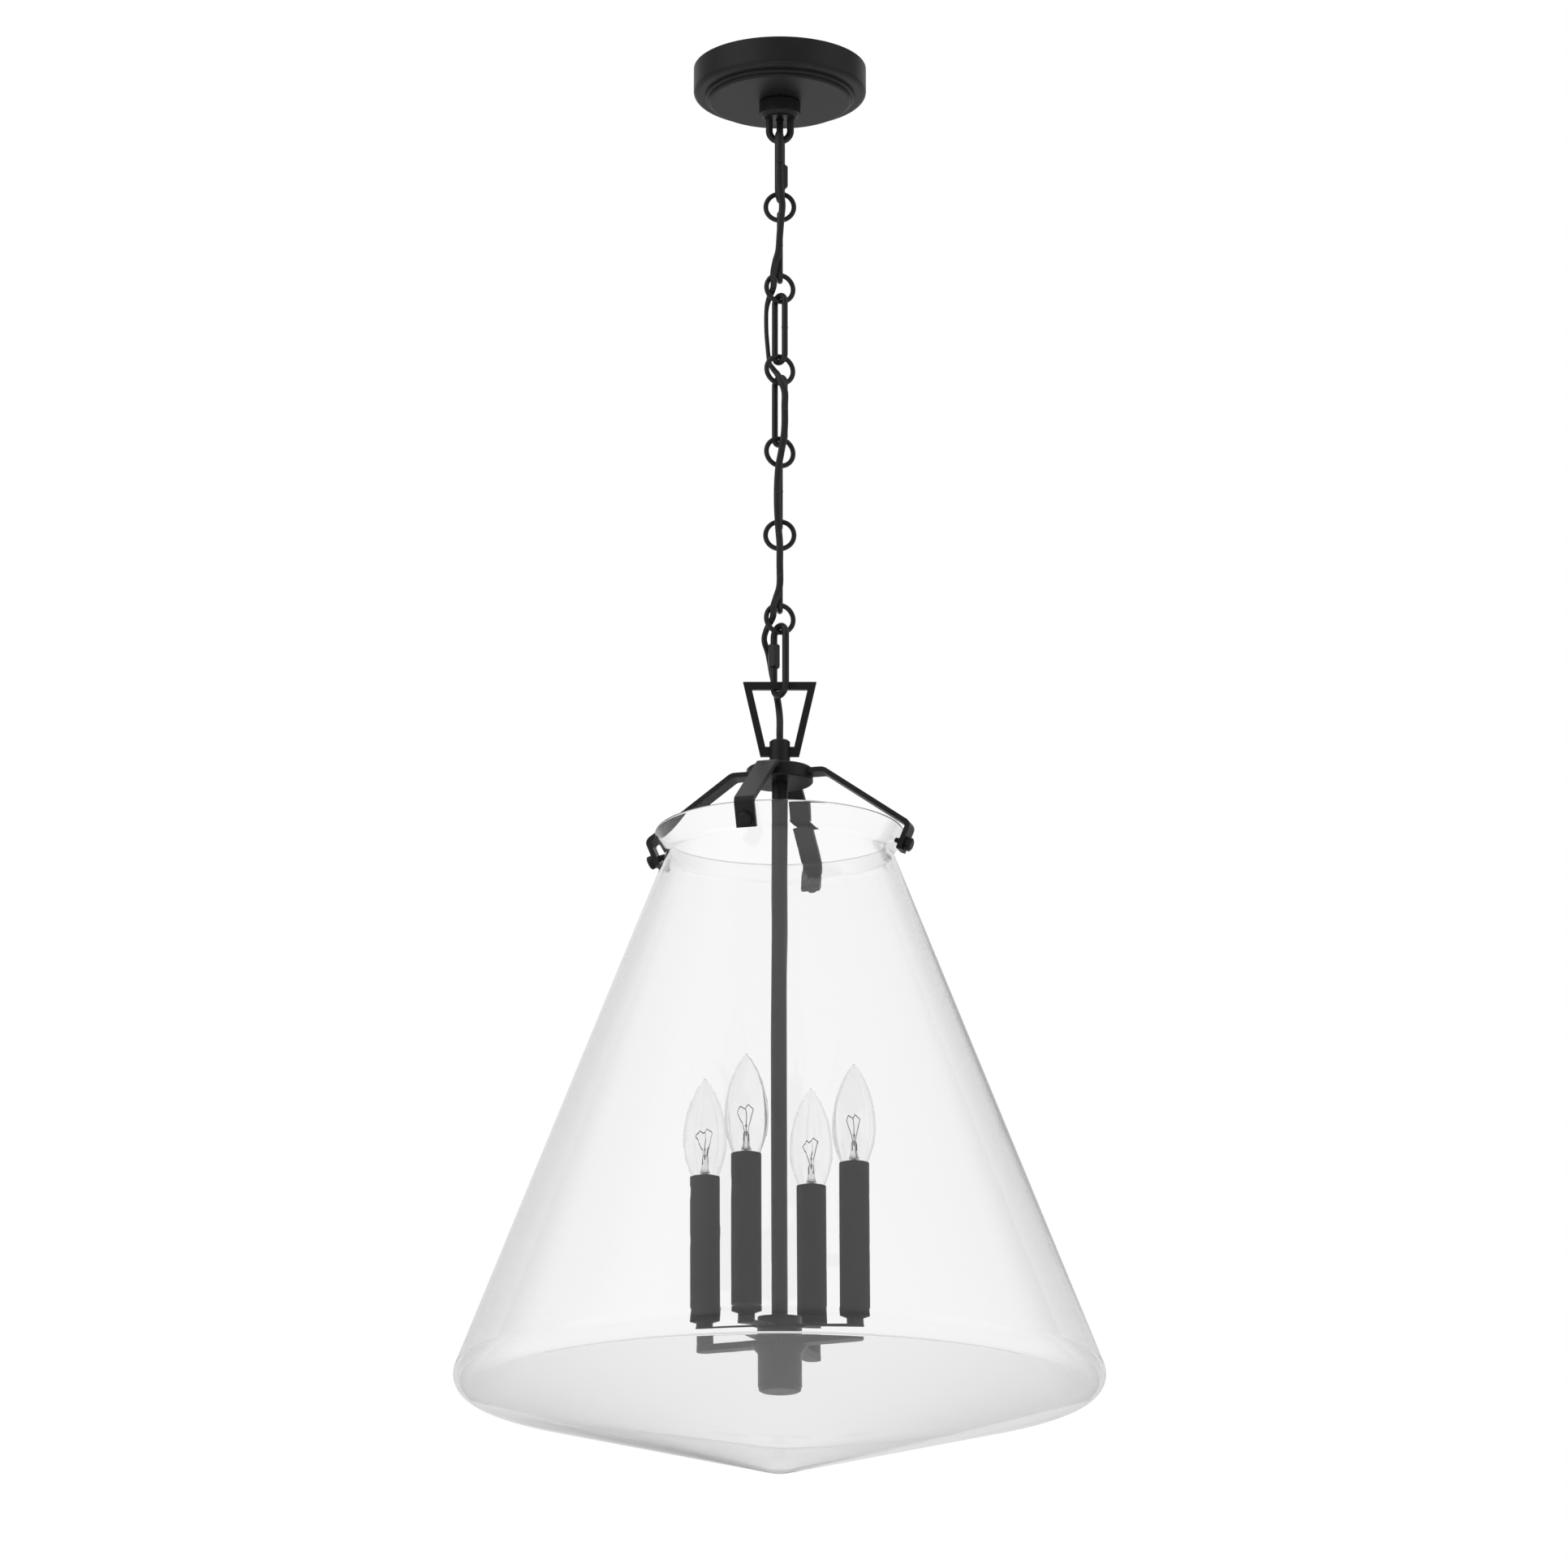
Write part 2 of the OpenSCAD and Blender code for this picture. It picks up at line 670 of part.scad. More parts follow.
module hub_disc() {
    edge = 1;
    color("#1c1c1c")
        difference() {
            translate([0, 0, disc_low_z]) {
                cylinder(d1 = disc_d - 2 * edge, d2 = disc_d, h = edge, $fn = 96);
                translate([0, 0, edge])
                    cylinder(d = disc_d, h = disc_h - 2 * edge, $fn = 96);
                translate([0, 0, disc_h - edge])
                    cylinder(d1 = disc_d, d2 = disc_d - 2 * edge, h = edge, $fn = 96);
            }
            translate([0, 0, disc_low_z - eps])
                cylinder(d = stem_d, h = disc_h + 2 * eps, $fn = 64);
            for (i = [0:3])
                in_arm_plane(arm_turn + 90 * i)
                    translate([arm_inner_r, arm_root_z - strap_t / 2, -strap_w / 2])
                        cube([disc_d, strap_t, strap_w]);
        }
}

arm_inner_r = disc_d / 2 - 8;
arm_path = [[arm_inner_r, arm_root_z], [arm_start_r, arm_root_z], [strap_corner_r, strap_corner_z],
    [strap_corner_r, strap_corner_z] + 8 * tab_dir];
module arm(i) {
    corner = 3;
    color("#1c1c1c")
        difference() {
            union() {
                in_arm_plane(arm_turn + 90 * i)
                    translate([0, 0, -strap_w / 2])
                        linear_extrude(strap_w)
                            strip(arm_path, [0, 8, 4, 0], strap_t);
                along_screw(arm_turn + 90 * i)
                    translate([0, 0, -strap_t / 2])
                        linear_extrude(strap_t)
                            tab_outline(corner);
            }
            along_screw(arm_turn + 90 * i)
                translate([0, 0, -strap_t])
                    cylinder(r = screw_r + running_gap, h = 2 * strap_t, $fn = 48);
        }
}

// flat of the tab about its screw hole: X is down the tab
module tab_outline(corner) {
    down = tab_len - screw_drop;
    up = screw_drop - 8;
    translate([-up, -strap_w / 2])
        square([up + down - corner, strap_w]);
    translate([-up, -strap_w / 2 + corner])
        square([up + down, strap_w - 2 * corner]);
    for (side = [-1, 1])
        translate([down - corner, side * (strap_w / 2 - corner)])
            circle(r = corner, $fn = 32);
}

module clamp_screw(i) {
    tip_r = screw_r - 0.45;
    color("#161616")
        along_screw(arm_turn + 90 * i) {
            translate([0, 0, -strap_t / 2 - slide_gap])
                cylinder(r = screw_r, h = strap_t / 2 + slide_gap + tip_reach - 3, $fn = 48);
            translate([0, 0, tip_reach - 3])
                cylinder(r1 = screw_r, r2 = tip_r, h = 0.6, $fn = 48);
            translate([0, 0, tip_reach - 2.4])
                cylinder(r = tip_r, h = 2.4 - tip_r * 0.4, $fn = 48);
            translate([0, 0, tip_reach - tip_r * 0.4])
                cylinder(r1 = tip_r, r2 = tip_r * 0.5, h = tip_r * 0.4, $fn = 48);
            translate([0, 0, -strap_t / 2 - slide_gap - screw_head_h])
                cylinder(d = screw_head_d, h = screw_head_h, $fn = 48);
            translate([0, 0, -strap_t / 2 - slide_gap - screw_head_h - 1])
                cylinder(d1 = screw_head_d - 3, d2 = screw_head_d, h = 1, $fn = 48);
        }
}

// ---- glass shade ----

// middle line of the wall as points in the half-plane: rim, waist, widest corner, apex and its mirror
lower_tangent = [edge_c + edge_mid_r * sin(bottom_slope), edge_z - edge_mid_r * cos(bottom_slope)];
apex_z = lower_tangent[1] - lower_tangent[0] * tan(bottom_slope);
apex_round = 40; // rounding of the bottom's point
// radius where the straight wall meets the line of the bottom
shade_cross_r = (waist_z - apex_z + waist_mid_r / tan(wall_angle))
    / (tan(bottom_slope) + 1 / tan(wall_angle));
shade_path = [[rim_mid_r, rim_z - glass_t / 2], [waist_mid_r, waist_z],
    [shade_cross_r, apex_z + shade_cross_r * tan(bottom_slope)], [0, apex_z],
    [-apex_round, apex_z + apex_round * tan(bottom_slope)]];

shade_line = mid_line(shade_path, [0, neck_mid_r, edge_mid_r, apex_round, 0]);
// half circle that rounds the rim, from the wall's outside over to its inside
rim_cap = [for (a = [15:15:165]) shade_line[0][0] - glass_t / 2 * rotate_2d(shade_line[0][1], -a)];

module glass_shade() {
    color([0.85, 0.88, 0.88, 0.35])
        rotate_extrude($fn = 180)
            intersection() {
                polygon(concat(strip_points(shade_line, glass_t / 2), rim_cap));
                translate([0, -big])
                    square([big, 2 * big]);
            }
}

// ---- stem and lamp cluster ----

stem_low_z = hub_top_z - hub_wall - locknut_h - 2;
module stem() {
    color("#1c1c1c")
        translate([0, 0, stem_low_z])
            difference() {
                cylinder(d = stem_d, h = stem_top_z - stem_low_z, $fn = 64);
                translate([0, 0, -eps])
                    cylinder(d = stem_bore, h = stem_top_z - stem_low_z + 2 * eps, $fn = 48);
            }
}

module stem_locknut() {
    color("silver")
        translate([0, 0, hub_top_z - hub_wall - locknut_h])
            difference() {
                hex_prism(stem_d + 7, locknut_h);
                translate([0, 0, -eps])
                    cylinder(d = stem_d, h = locknut_h + 2 * eps, $fn = 64);
            }
}

cover_h = 4;
module cluster_body() {
    flare_h = 6;
    flare_r = hub_d / 2 + 5;
    slot_z = lead_z - lead_r - 0.4;
    slot_h = 2 * lead_r + 0.8;
    slot_half = 2 * lead_r + 0.5;
    color("#1c1c1c")
        difference() {
            union() {
                translate([0, 0, hub_low_z])
                    cylinder(d = hub_d, h = hub_top_z - hub_low_z - 1, $fn = 96);
                translate([0, 0, hub_top_z - 1])
                    cylinder(d1 = hub_d, d2 = hub_d - 2, h = 1, $fn = 96);
                translate([0, 0, bar_low_z - flare_h])
                    cylinder(r1 = hub_d / 2, r2 = flare_r, h = flare_h, $fn = 96);
                for (i = [0:3])
                    rotate([0, 0, candle_turn + 90 * i]) {
                        translate([-bar_w / 2, -candle_r, bar_low_z])
                            cube([bar_w, candle_r, bar_t]);
                        translate([0, -candle_r, bar_low_z])
                            cylinder(d = bar_w, h = bar_t, $fn = 48);
                    }
            }
            translate([0, 0, hub_low_z - eps])
                cylinder(r = hub_cavity_r, h = hub_top_z - hub_wall - hub_low_z + eps, $fn = 96);
            translate([0, 0, hub_low_z])
                cylinder(d = stem_d, h = big / 4, $fn = 64);
            for (i = [0:3])
                rotate([0, 0, candle_turn + 90 * i]) {
                    translate([-slot_half, -candle_r, slot_z])
                        cube([2 * slot_half, candle_r, slot_h]);
                    translate([0, -candle_r, slot_z])
                        cylinder(r = post_bore_r, h = bar_t, $fn = 48);
                }
        }
}

module cluster_cover() {
    color("#1c1c1c")
        translate([0, 0, hub_low_z - cover_h]) {
            translate([0, 0, 1])
                cylinder(d = hub_d - 1.5, h = cover_h - 1, $fn = 96);
            cylinder(d1 = hub_d - 5, d2 = hub_d - 1.5, h = 1, $fn = 96);
            translate([0, 0, cover_h])
                difference() {
                    cylinder(r = hub_cavity_r, h = 6, $fn = 96);
                    translate([0, 0, 0])
                        cylinder(r = hub_cavity_r - 2, h = 6 + eps, $fn = 96);
                }
        }
}

module hub_splices() {
    color("orange")
        for (side = [-1, 1])
            translate([side * 6.5, 0, hub_low_z + 2])
                splice_cap(20, 11, 7);
}

hickey_r = 4.8;
module lamp_posts() {
    color("#1c1c1c")
        for (i = [0:3])
            at_candle(i)
                difference() {
                    union() {
                        translate([0, 0, bar_top_z])
                            cylinder(d = post_d, h = post_h - cup_h, $fn = 64);
                        translate([0, 0, candle_low_z - cup_h])
                            cylinder(d1 = post_d, d2 = candle_d, h = cup_h, $fn = 64);
                        translate([0, 0, candle_low_z])
                            cylinder(r = hickey_r, h = socket_top_z - socket_h - candle_low_z, $fn = 48);
                    }
                    translate([0, 0, bar_top_z - eps])
                        cylinder(r = post_bore_r, h = 200, $fn = 48);
                }
}

module candle_sleeve(i) {
    color("#202020")
        at_candle(i)
            translate([0, 0, candle_low_z])
                difference() {
                    cylinder(d = candle_d, h = candle_len, $fn = 96);
                    translate([0, 0, -eps])
                        cylinder(r = candle_bore_r, h = candle_len + 2 * eps, $fn = 96);
                }
}

module lamp_sockets() {
    color("#2a2420")
        for (i = [0:3])
            at_candle(i)
                translate([0, 0, socket_top_z - socket_h])
                    difference() {
                        cylinder(r = socket_r, h = socket_h, $fn = 64);
                        translate([0, 0, socket_h - shell_h])
                            cylinder(r = shell_r + shell_t, h = shell_h + eps, $fn = 64);
                        translate([0, 0, -eps])
                            cylinder(r = post_bore_r, h = socket_h, $fn = 48);
                    }
}

shell_h = base_h + 3;
module socket_shells() {
    color("gold")
        for (i = [0:3])
            at_candle(i)
                translate([0, 0, socket_top_z - shell_h])
                    difference() {
                        cylinder(r = shell_r + shell_t, h = shell_h - 1, $fn = 64);
                        translate([0, 0, 1])
                            cylinder(r = shell_r, h = shell_h, $fn = 64);
                    }
}

// one lead pair: out of the hub along a bar, then up a post to the socket
module lamp_leads() {
    top = socket_top_z - shell_h - 1;
    bend = 3 * lead_r;
    color("black")
        for (i = [0:3], side = [-1, 1])
            rotate([0, 0, candle_turn + 90 * i])
                translate([side * (lead_r + 0.1), 0, 0]) {
                    translate([0, -hub_cavity_r, lead_z])
                        rotate([90, 0, 0])
                            cylinder(r = lead_r, h = candle_r - hub_cavity_r - bend, $fn = 24);
                    translate([0, -candle_r + bend, lead_z + bend])
                        rotate([0, 90, 0])
                            rotate([0, 0, 270])
                                rotate_extrude(angle = 90, $fn = 48)
                                    translate([bend, 0])
                                        circle(r = lead_r, $fn = 24);
                    translate([0, -candle_r, lead_z + bend])
                        cylinder(r = lead_r, h = top - lead_z - bend, $fn = 24);
                }
}

// ---- lamps ----

// outline of the lamp's glass, up from the sleeve's top: a neck, a belly and a long pointed top
belly_z = lamp_h * 0.35;
lamp_steps = 18;
function lamp_radius(z) =
    z < belly_z
        ? lamp_neck_r + (lamp_d / 2 - lamp_neck_r) * sin(90 * (z + neck_in) / (belly_z + neck_in))
        : lamp_d / 2 * pow(1 - pow((z - belly_z) / (lamp_h - belly_z), 2.1), 0.86);
lamp_outline = [
    for (i = [0:lamp_steps])
        let (z = -neck_in + (lamp_h + neck_in) * (1 - pow(1 - i / lamp_steps, 1.5)))
            [i == lamp_steps ? 0 : lamp_radius(z), z]
];

module lamp_glass(i) {
    shrink_r = 1 - lamp_wall / (lamp_d / 2);
    shrink_z = 1 - lamp_wall / (lamp_h + neck_in);
    inner = [
        for (k = [lamp_steps:-1:0])
            [lamp_outline[k][0] * shrink_r, (lamp_outline[k][1] + neck_in) * shrink_z - neck_in]
    ];
    color([0.9, 0.92, 0.92, 0.3])
        at_candle(i)
            translate([0, 0, candle_top_z])
                rotate_extrude($fn = 72)
                    polygon(concat(lamp_outline, inner));
}

module lamp_base(i) {
    seat_z = candle_top_z - neck_in - lamp_collar;
    tip_h = 3;
    color("silver")
        at_candle(i) {
            translate([0, 0, seat_z])
                cylinder(r1 = base_d / 2, r2 = lamp_neck_r, h = lamp_collar, $fn = 64);
            translate([0, 0, seat_z - base_h + tip_h])
                cylinder(d = base_d, h = base_h - tip_h, $fn = 64);
            translate([0, 0, seat_z - base_h])
                cylinder(d1 = 5, d2 = base_d, h = tip_h, $fn = 48);
        }
}

// ---- supply cord ----

function xyz(p) = [p[0], p[1], p[2]];
function spline(a, b, c, d, t) =
    0.5 * (2 * b + (c - a) * t + (2 * a - 5 * b + 4 * c - d) * t * t + (3 * b - a - 3 * c + d) * t * t * t);
function route_point(points, s) =
    let (last = len(points) - 1, i = min(floor(s), last - 1), t = s - i)
    spline(points[max(i - 1, 0)], points[i], points[i + 1], points[min(i + 2, last)], t);
function span_steps(a, b) = max(1, round(norm(xyz(b) - xyz(a)) / cord_ring_gap));
cord_stations = [
    for (i = [0:len(cord_points) - 2])
        let (n = span_steps(cord_points[i], cord_points[i + 1]))
            for (k = [0:n - 1]) i + k / n,
    len(cord_points) - 1
];
function cord_ring(s) =
    let (p = route_point(cord_points, s),
         ahead = route_point(cord_points, min(s + 0.05, len(cord_points) - 1)),
         behind = route_point(cord_points, max(s - 0.05, 0)),
         along = unit(xyz(ahead) - xyz(behind)),
         flat = [cos(p[3]), sin(p[3]), 0],
         wide = unit(flat - (flat * along) * along),
         thin = cross(along, wide))
    [for (k = [0:cord_sides - 1])
        let (a = 360 * (k + 0.5) / cord_sides)
            xyz(p) + wide * cord_w / 2 * cos(a) / cos(180 / cord_sides)
            + thin * cord_t / 2 * sin(a) / cos(180 / cord_sides)];

module supply_cord() {
    rings = len(cord_stations);
    points = [for (s = cord_stations) each cord_ring(s)];
    walls = [for (i = [0:rings - 2], k = [0:cord_sides - 1])
        let (n = (k + 1) % cord_sides, a = i * cord_sides, b = a + cord_sides)
            [a + k, b + k, b + n, a + n]];
    top = [for (k = [0:cord_sides - 1]) k];
    end = [for (k = [cord_sides - 1:-1:0]) (rings - 1) * cord_sides + k];
    color("#0c0c0c")
        polyhedron(points, concat([top], walls, [end]));
}

// ---- nodes ----

crossbar();
nipple();
nipple_nuts();
ground_screw();
canopy_splices();
canopy();
screw_collar();
canopy_loop();
quick_link(quick_top_z, quick_top_turn);  // quick_link_top
quick_sleeve(quick_top_z, quick_top_turn, -1);  // quick_sleeve_top
ring(0);  // ring_1
ring(1);  // ring_2
ring(2);  // ring_3
ring(3);  // ring_4
ring(4);  // ring_5
ring(5);  // ring_6
link(0);  // link_1
link(1);  // link_2
link(2);  // link_3
link(3);  // link_4
link(4);  // link_5
quick_link(quick_low_z, quick_bottom_turn);  // quick_link_bottom
quick_sleeve(quick_low_z, quick_bottom_turn, 1);  // quick_sleeve_bottom
hanger();
hub_cap();
cord_bushing();
hub_disc();
arm(0);  // arm_front
arm(1);  // arm_right
arm(2);  // arm_rear
arm(3);  // arm_left
clamp_screw(0);  // clamp_screw_front
clamp_screw(1);  // clamp_screw_right
clamp_screw(2);  // clamp_screw_rear
clamp_screw(3);  // clamp_screw_left
glass_shade();
stem();
stem_locknut();
cluster_body();
lamp_posts();
cluster_cover();
hub_splices();
candle_sleeve(0);  // candle_sleeve_1
candle_sleeve(1);  // candle_sleeve_2
candle_sleeve(2);  // candle_sleeve_3
candle_sleeve(3);  // candle_sleeve_4
lamp_sockets();
socket_shells();
lamp_leads();
lamp_glass(0);  // lamp_glass_1
lamp_glass(1);  // lamp_glass_2
lamp_glass(2);  // lamp_glass_3
lamp_glass(3);  // lamp_glass_4
lamp_base(0);  // lamp_base_1
lamp_base(1);  // lamp_base_2
lamp_base(2);  // lamp_base_3
lamp_base(3);  // lamp_base_4
supply_cord();
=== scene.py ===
import json
from math import atan2, asin, atan, ceil, cos, hypot, pi, radians, sin, tan

import bmesh
import bpy
from mathutils import Matrix, Vector


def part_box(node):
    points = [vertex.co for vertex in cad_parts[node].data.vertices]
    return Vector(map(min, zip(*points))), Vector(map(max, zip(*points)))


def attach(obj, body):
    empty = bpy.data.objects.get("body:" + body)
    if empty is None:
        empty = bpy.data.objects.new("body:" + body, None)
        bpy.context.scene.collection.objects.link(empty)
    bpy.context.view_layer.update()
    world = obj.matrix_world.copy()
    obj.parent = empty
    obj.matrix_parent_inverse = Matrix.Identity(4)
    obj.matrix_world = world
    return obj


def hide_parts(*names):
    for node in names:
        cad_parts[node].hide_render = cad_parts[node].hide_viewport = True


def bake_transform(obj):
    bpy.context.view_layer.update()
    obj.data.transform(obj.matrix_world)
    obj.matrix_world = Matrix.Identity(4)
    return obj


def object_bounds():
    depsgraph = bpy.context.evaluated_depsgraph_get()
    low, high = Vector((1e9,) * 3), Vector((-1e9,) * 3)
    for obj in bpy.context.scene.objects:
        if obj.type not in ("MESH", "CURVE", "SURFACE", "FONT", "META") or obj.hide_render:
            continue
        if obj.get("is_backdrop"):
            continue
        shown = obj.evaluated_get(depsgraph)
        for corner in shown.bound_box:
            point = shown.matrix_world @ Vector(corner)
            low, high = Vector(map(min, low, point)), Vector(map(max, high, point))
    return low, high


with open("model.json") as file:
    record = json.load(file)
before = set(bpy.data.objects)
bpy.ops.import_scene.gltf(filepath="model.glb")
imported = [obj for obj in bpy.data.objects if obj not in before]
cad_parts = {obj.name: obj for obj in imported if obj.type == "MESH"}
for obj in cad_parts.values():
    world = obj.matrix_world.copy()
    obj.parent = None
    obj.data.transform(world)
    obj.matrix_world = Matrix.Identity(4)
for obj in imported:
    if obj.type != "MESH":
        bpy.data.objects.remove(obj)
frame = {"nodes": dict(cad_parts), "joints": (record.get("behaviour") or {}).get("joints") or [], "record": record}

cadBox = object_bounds()
nodes = frame["nodes"]
joints = {j["name"]: j for j in frame["joints"]}
scene = bpy.context.scene
mm = 0.001
up = Vector((0, 0, 1))
print("frame loaded:", len(nodes), "nodes")

# ---- camera, floor and light ----

camera = {
    "place": (0.0034, -5.0, -2.0446),
    "tiltUp": 15.976,
    "lens": 149.44,
    "sensor": 36,
    "farthest": 50,
}


def addCamera(c):
    data = bpy.data.cameras.new("studioCamera")
    data.lens = c["lens"]
    data.sensor_width = c["sensor"]
    data.clip_end = c["farthest"]
    obj = bpy.data.objects.new("studioCamera", data)
    obj.location = c["place"]
    obj.rotation_euler = (radians(90 + c["tiltUp"]), 0, 0)
    scene.collection.objects.link(obj)
    scene.camera = obj


addCamera(camera)

studio = {
    "floorHeight": -2.35,
    "floorSize": 30,
    "floorColor": (0.86, 0.86, 0.86, 1),
    "floorRough": 0.8,
    "white": 1.0,
    "ambient": 0.22,
    "lightAim": (0, 0, -0.75),
}
# soft patches of light that the finishes and the glass reflect
# each has its direction, and the cosines at which it starts and is full
skyPatches = [
    {"toward": (0.0, 0.0, 1.0), "start": 0.2, "full": 0.95, "strength": 0.55},
    {"toward": (-0.75, -0.55, 0.35), "start": 0.80, "full": 0.97, "strength": 0.85},
    {"toward": (0.85, -0.35, 0.25), "start": 0.86, "full": 0.98, "strength": 0.60},
    {"toward": (0.0, 1.0, 0.15), "start": 0.55, "full": 0.95, "strength": 0.55},
]
lights = [
    {"name": "keyLight", "place": (-2.2, -2.6, 0.6), "size": 1.6, "power": 34},
    {"name": "fillLight", "place": (2.6, -2.2, -0.4), "size": 1.8, "power": 12},
]


def addStudio(s):
    floorMesh = bpy.data.meshes.new("studioFloor")
    bm = bmesh.new()
    bmesh.ops.create_grid(bm, x_segments=1, y_segments=1, size=s["floorSize"] / 2)
    bmesh.ops.translate(bm, verts=bm.verts, vec=(0, 0, s["floorHeight"]))
    bm.to_mesh(floorMesh)
    bm.free()
    floor = bpy.data.objects.new("studioFloor", floorMesh)
    scene.collection.objects.link(floor)
    floor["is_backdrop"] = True
    paint = bpy.data.materials.new("studioPaint")
    paint.use_nodes = True
    shader = paint.node_tree.nodes["Principled BSDF"]
    shader.inputs["Base Color"].default_value = s["floorColor"]
    shader.inputs["Roughness"].default_value = s["floorRough"]
    floorMesh.materials.append(paint)
    scene.view_settings.view_transform = "Standard"


def addSky(s, patches):
    world = bpy.data.worlds.new("studioSky")
    world.use_nodes = True
    scene.world = world
    tree = world.node_tree
    coords = tree.nodes.new("ShaderNodeTexCoord")
    total = None
    for p in patches:
        toward = tree.nodes.new("ShaderNodeVectorMath")
        toward.operation = "DOT_PRODUCT"
        toward.inputs[1].default_value = Vector(p["toward"]).normalized()
        tree.links.new(coords.outputs["Generated"], toward.inputs[0])
        soft = tree.nodes.new("ShaderNodeMapRange")
        soft.interpolation_type = "SMOOTHSTEP"
        soft.inputs["From Min"].default_value = p["start"]
        soft.inputs["From Max"].default_value = p["full"]
        soft.inputs["To Max"].default_value = p["strength"]
        tree.links.new(toward.outputs["Value"], soft.inputs["Value"])
        add = tree.nodes.new("ShaderNodeMath")
        add.operation = "ADD"
        add.inputs[1].default_value = s["ambient"]
        tree.links.new(soft.outputs["Result"], add.inputs[0])
        if total is not None:
            tree.links.new(total, add.inputs[1])
        total = add.outputs["Value"]
    # straight sight lines, and those through clear glass, see plain white
    path = tree.nodes.new("ShaderNodeLightPath")
    seen = tree.nodes.new("ShaderNodeMath")
    seen.operation = "MAXIMUM"
    tree.links.new(path.outputs["Is Camera Ray"], seen.inputs[0])
    tree.links.new(path.outputs["Is Transmission Ray"], seen.inputs[1])
    pick = tree.nodes.new("ShaderNodeMix")
    tree.links.new(seen.outputs["Value"], pick.inputs["Factor"])
    tree.links.new(total, pick.inputs["A"])
    pick.inputs["B"].default_value = s["white"]
    tree.links.new(pick.outputs["Result"], tree.nodes["Background"].inputs["Strength"])
    tree.nodes["Background"].inputs["Color"].default_value = (1, 1, 1, 1)


def addLight(l, aimAt):
    data = bpy.data.lights.new(l["name"], "AREA")
    data.energy = l["power"]
    data.size = l["size"]
    obj = bpy.data.objects.new(l["name"], data)
    obj.location = l["place"]
    aim = Vector(aimAt) - Vector(l["place"])
    obj.rotation_euler = aim.to_track_quat("-Z", "Y").to_euler()
    obj.visible_glossy = False        # its reflection would show as a hard square in the glass
    obj.visible_transmission = False
    scene.collection.objects.link(obj)


addStudio(studio)
addSky(studio, skyPatches)
for oneLight in lights:
    addLight(oneLight, studio["lightAim"])
print("studio ready")

# ---- finishes ----

coat = {
    "cloudScale": 60,
    "cloudDetail": 3,
    "grainDetail": 2,
    "grainSpread": (0.3, 0.7),
    "grainDepth": 0.05 * mm,
    "edgeSamples": 4,
    "rippleDepth": 0.5 * mm,
}
finishes = {
    "powderCoat": dict(color=(0.0065, 0.0065, 0.007), worn=(0.013, 0.013, 0.0135), rough=(0.36, 0.5),
                       grain=2600, bump=0.10, specular=0.26, edge=0.45 * mm),
    "chainCoat": dict(color=(0.006, 0.006, 0.0065), worn=(0.012, 0.012, 0.0125), rough=(0.28, 0.44),
                      grain=1900, bump=0.10, specular=0.38, edge=0.2 * mm),
    "candleCover": dict(color=(0.006, 0.006, 0.0065), worn=(0.011, 0.011, 0.0115), rough=(0.55, 0.7),
                        grain=3200, bump=0.14, specular=0.16, edge=0.25 * mm),
    "platedSteel": dict(color=(0.58, 0.58, 0.57), worn=(0.42, 0.42, 0.42), rough=(0.22, 0.38),
                        grain=1500, bump=0.05, metal=1.0, edge=0.3 * mm),
    "brassFinish": dict(color=(0.72, 0.52, 0.20), worn=(0.50, 0.36, 0.14), rough=(0.25, 0.42),
                        grain=1500, bump=0.05, metal=1.0, edge=0.2 * mm),
    "cordJacket": dict(color=(0.008, 0.008, 0.0085), worn=(0.014, 0.014, 0.0145), rough=(0.34, 0.46),
                       grain=1100, bump=0.07, specular=0.42, edge=0),
    "splicePlastic": dict(color=(0.60, 0.16, 0.02), worn=(0.48, 0.12, 0.015), rough=(0.3, 0.42),
                          grain=1400, bump=0.06, specular=0.5, edge=0.4 * mm),
    "phenolic": dict(color=(0.035, 0.024, 0.018), worn=(0.050, 0.036, 0.027), rough=(0.38, 0.52),
                     grain=1700, bump=0.09, specular=0.45, edge=0.3 * mm),
    "groundGreen": dict(color=(0.03, 0.22, 0.07), worn=(0.05, 0.28, 0.10), rough=(0.28, 0.42),
                        grain=1500, bump=0.05, metal=0.6, edge=0.25 * mm),
    "filamentWire": dict(color=(0.05, 0.048, 0.045), worn=(0.10, 0.095, 0.09), rough=(0.3, 0.5),
                         grain=5200, bump=0.06, metal=1.0, edge=0),
    "seamLine": dict(color=(0.004, 0.004, 0.004), worn=(0.008, 0.008, 0.008), rough=(0.6, 0.75),
                     grain=2400, bump=0.10, specular=0.2, edge=0),
}


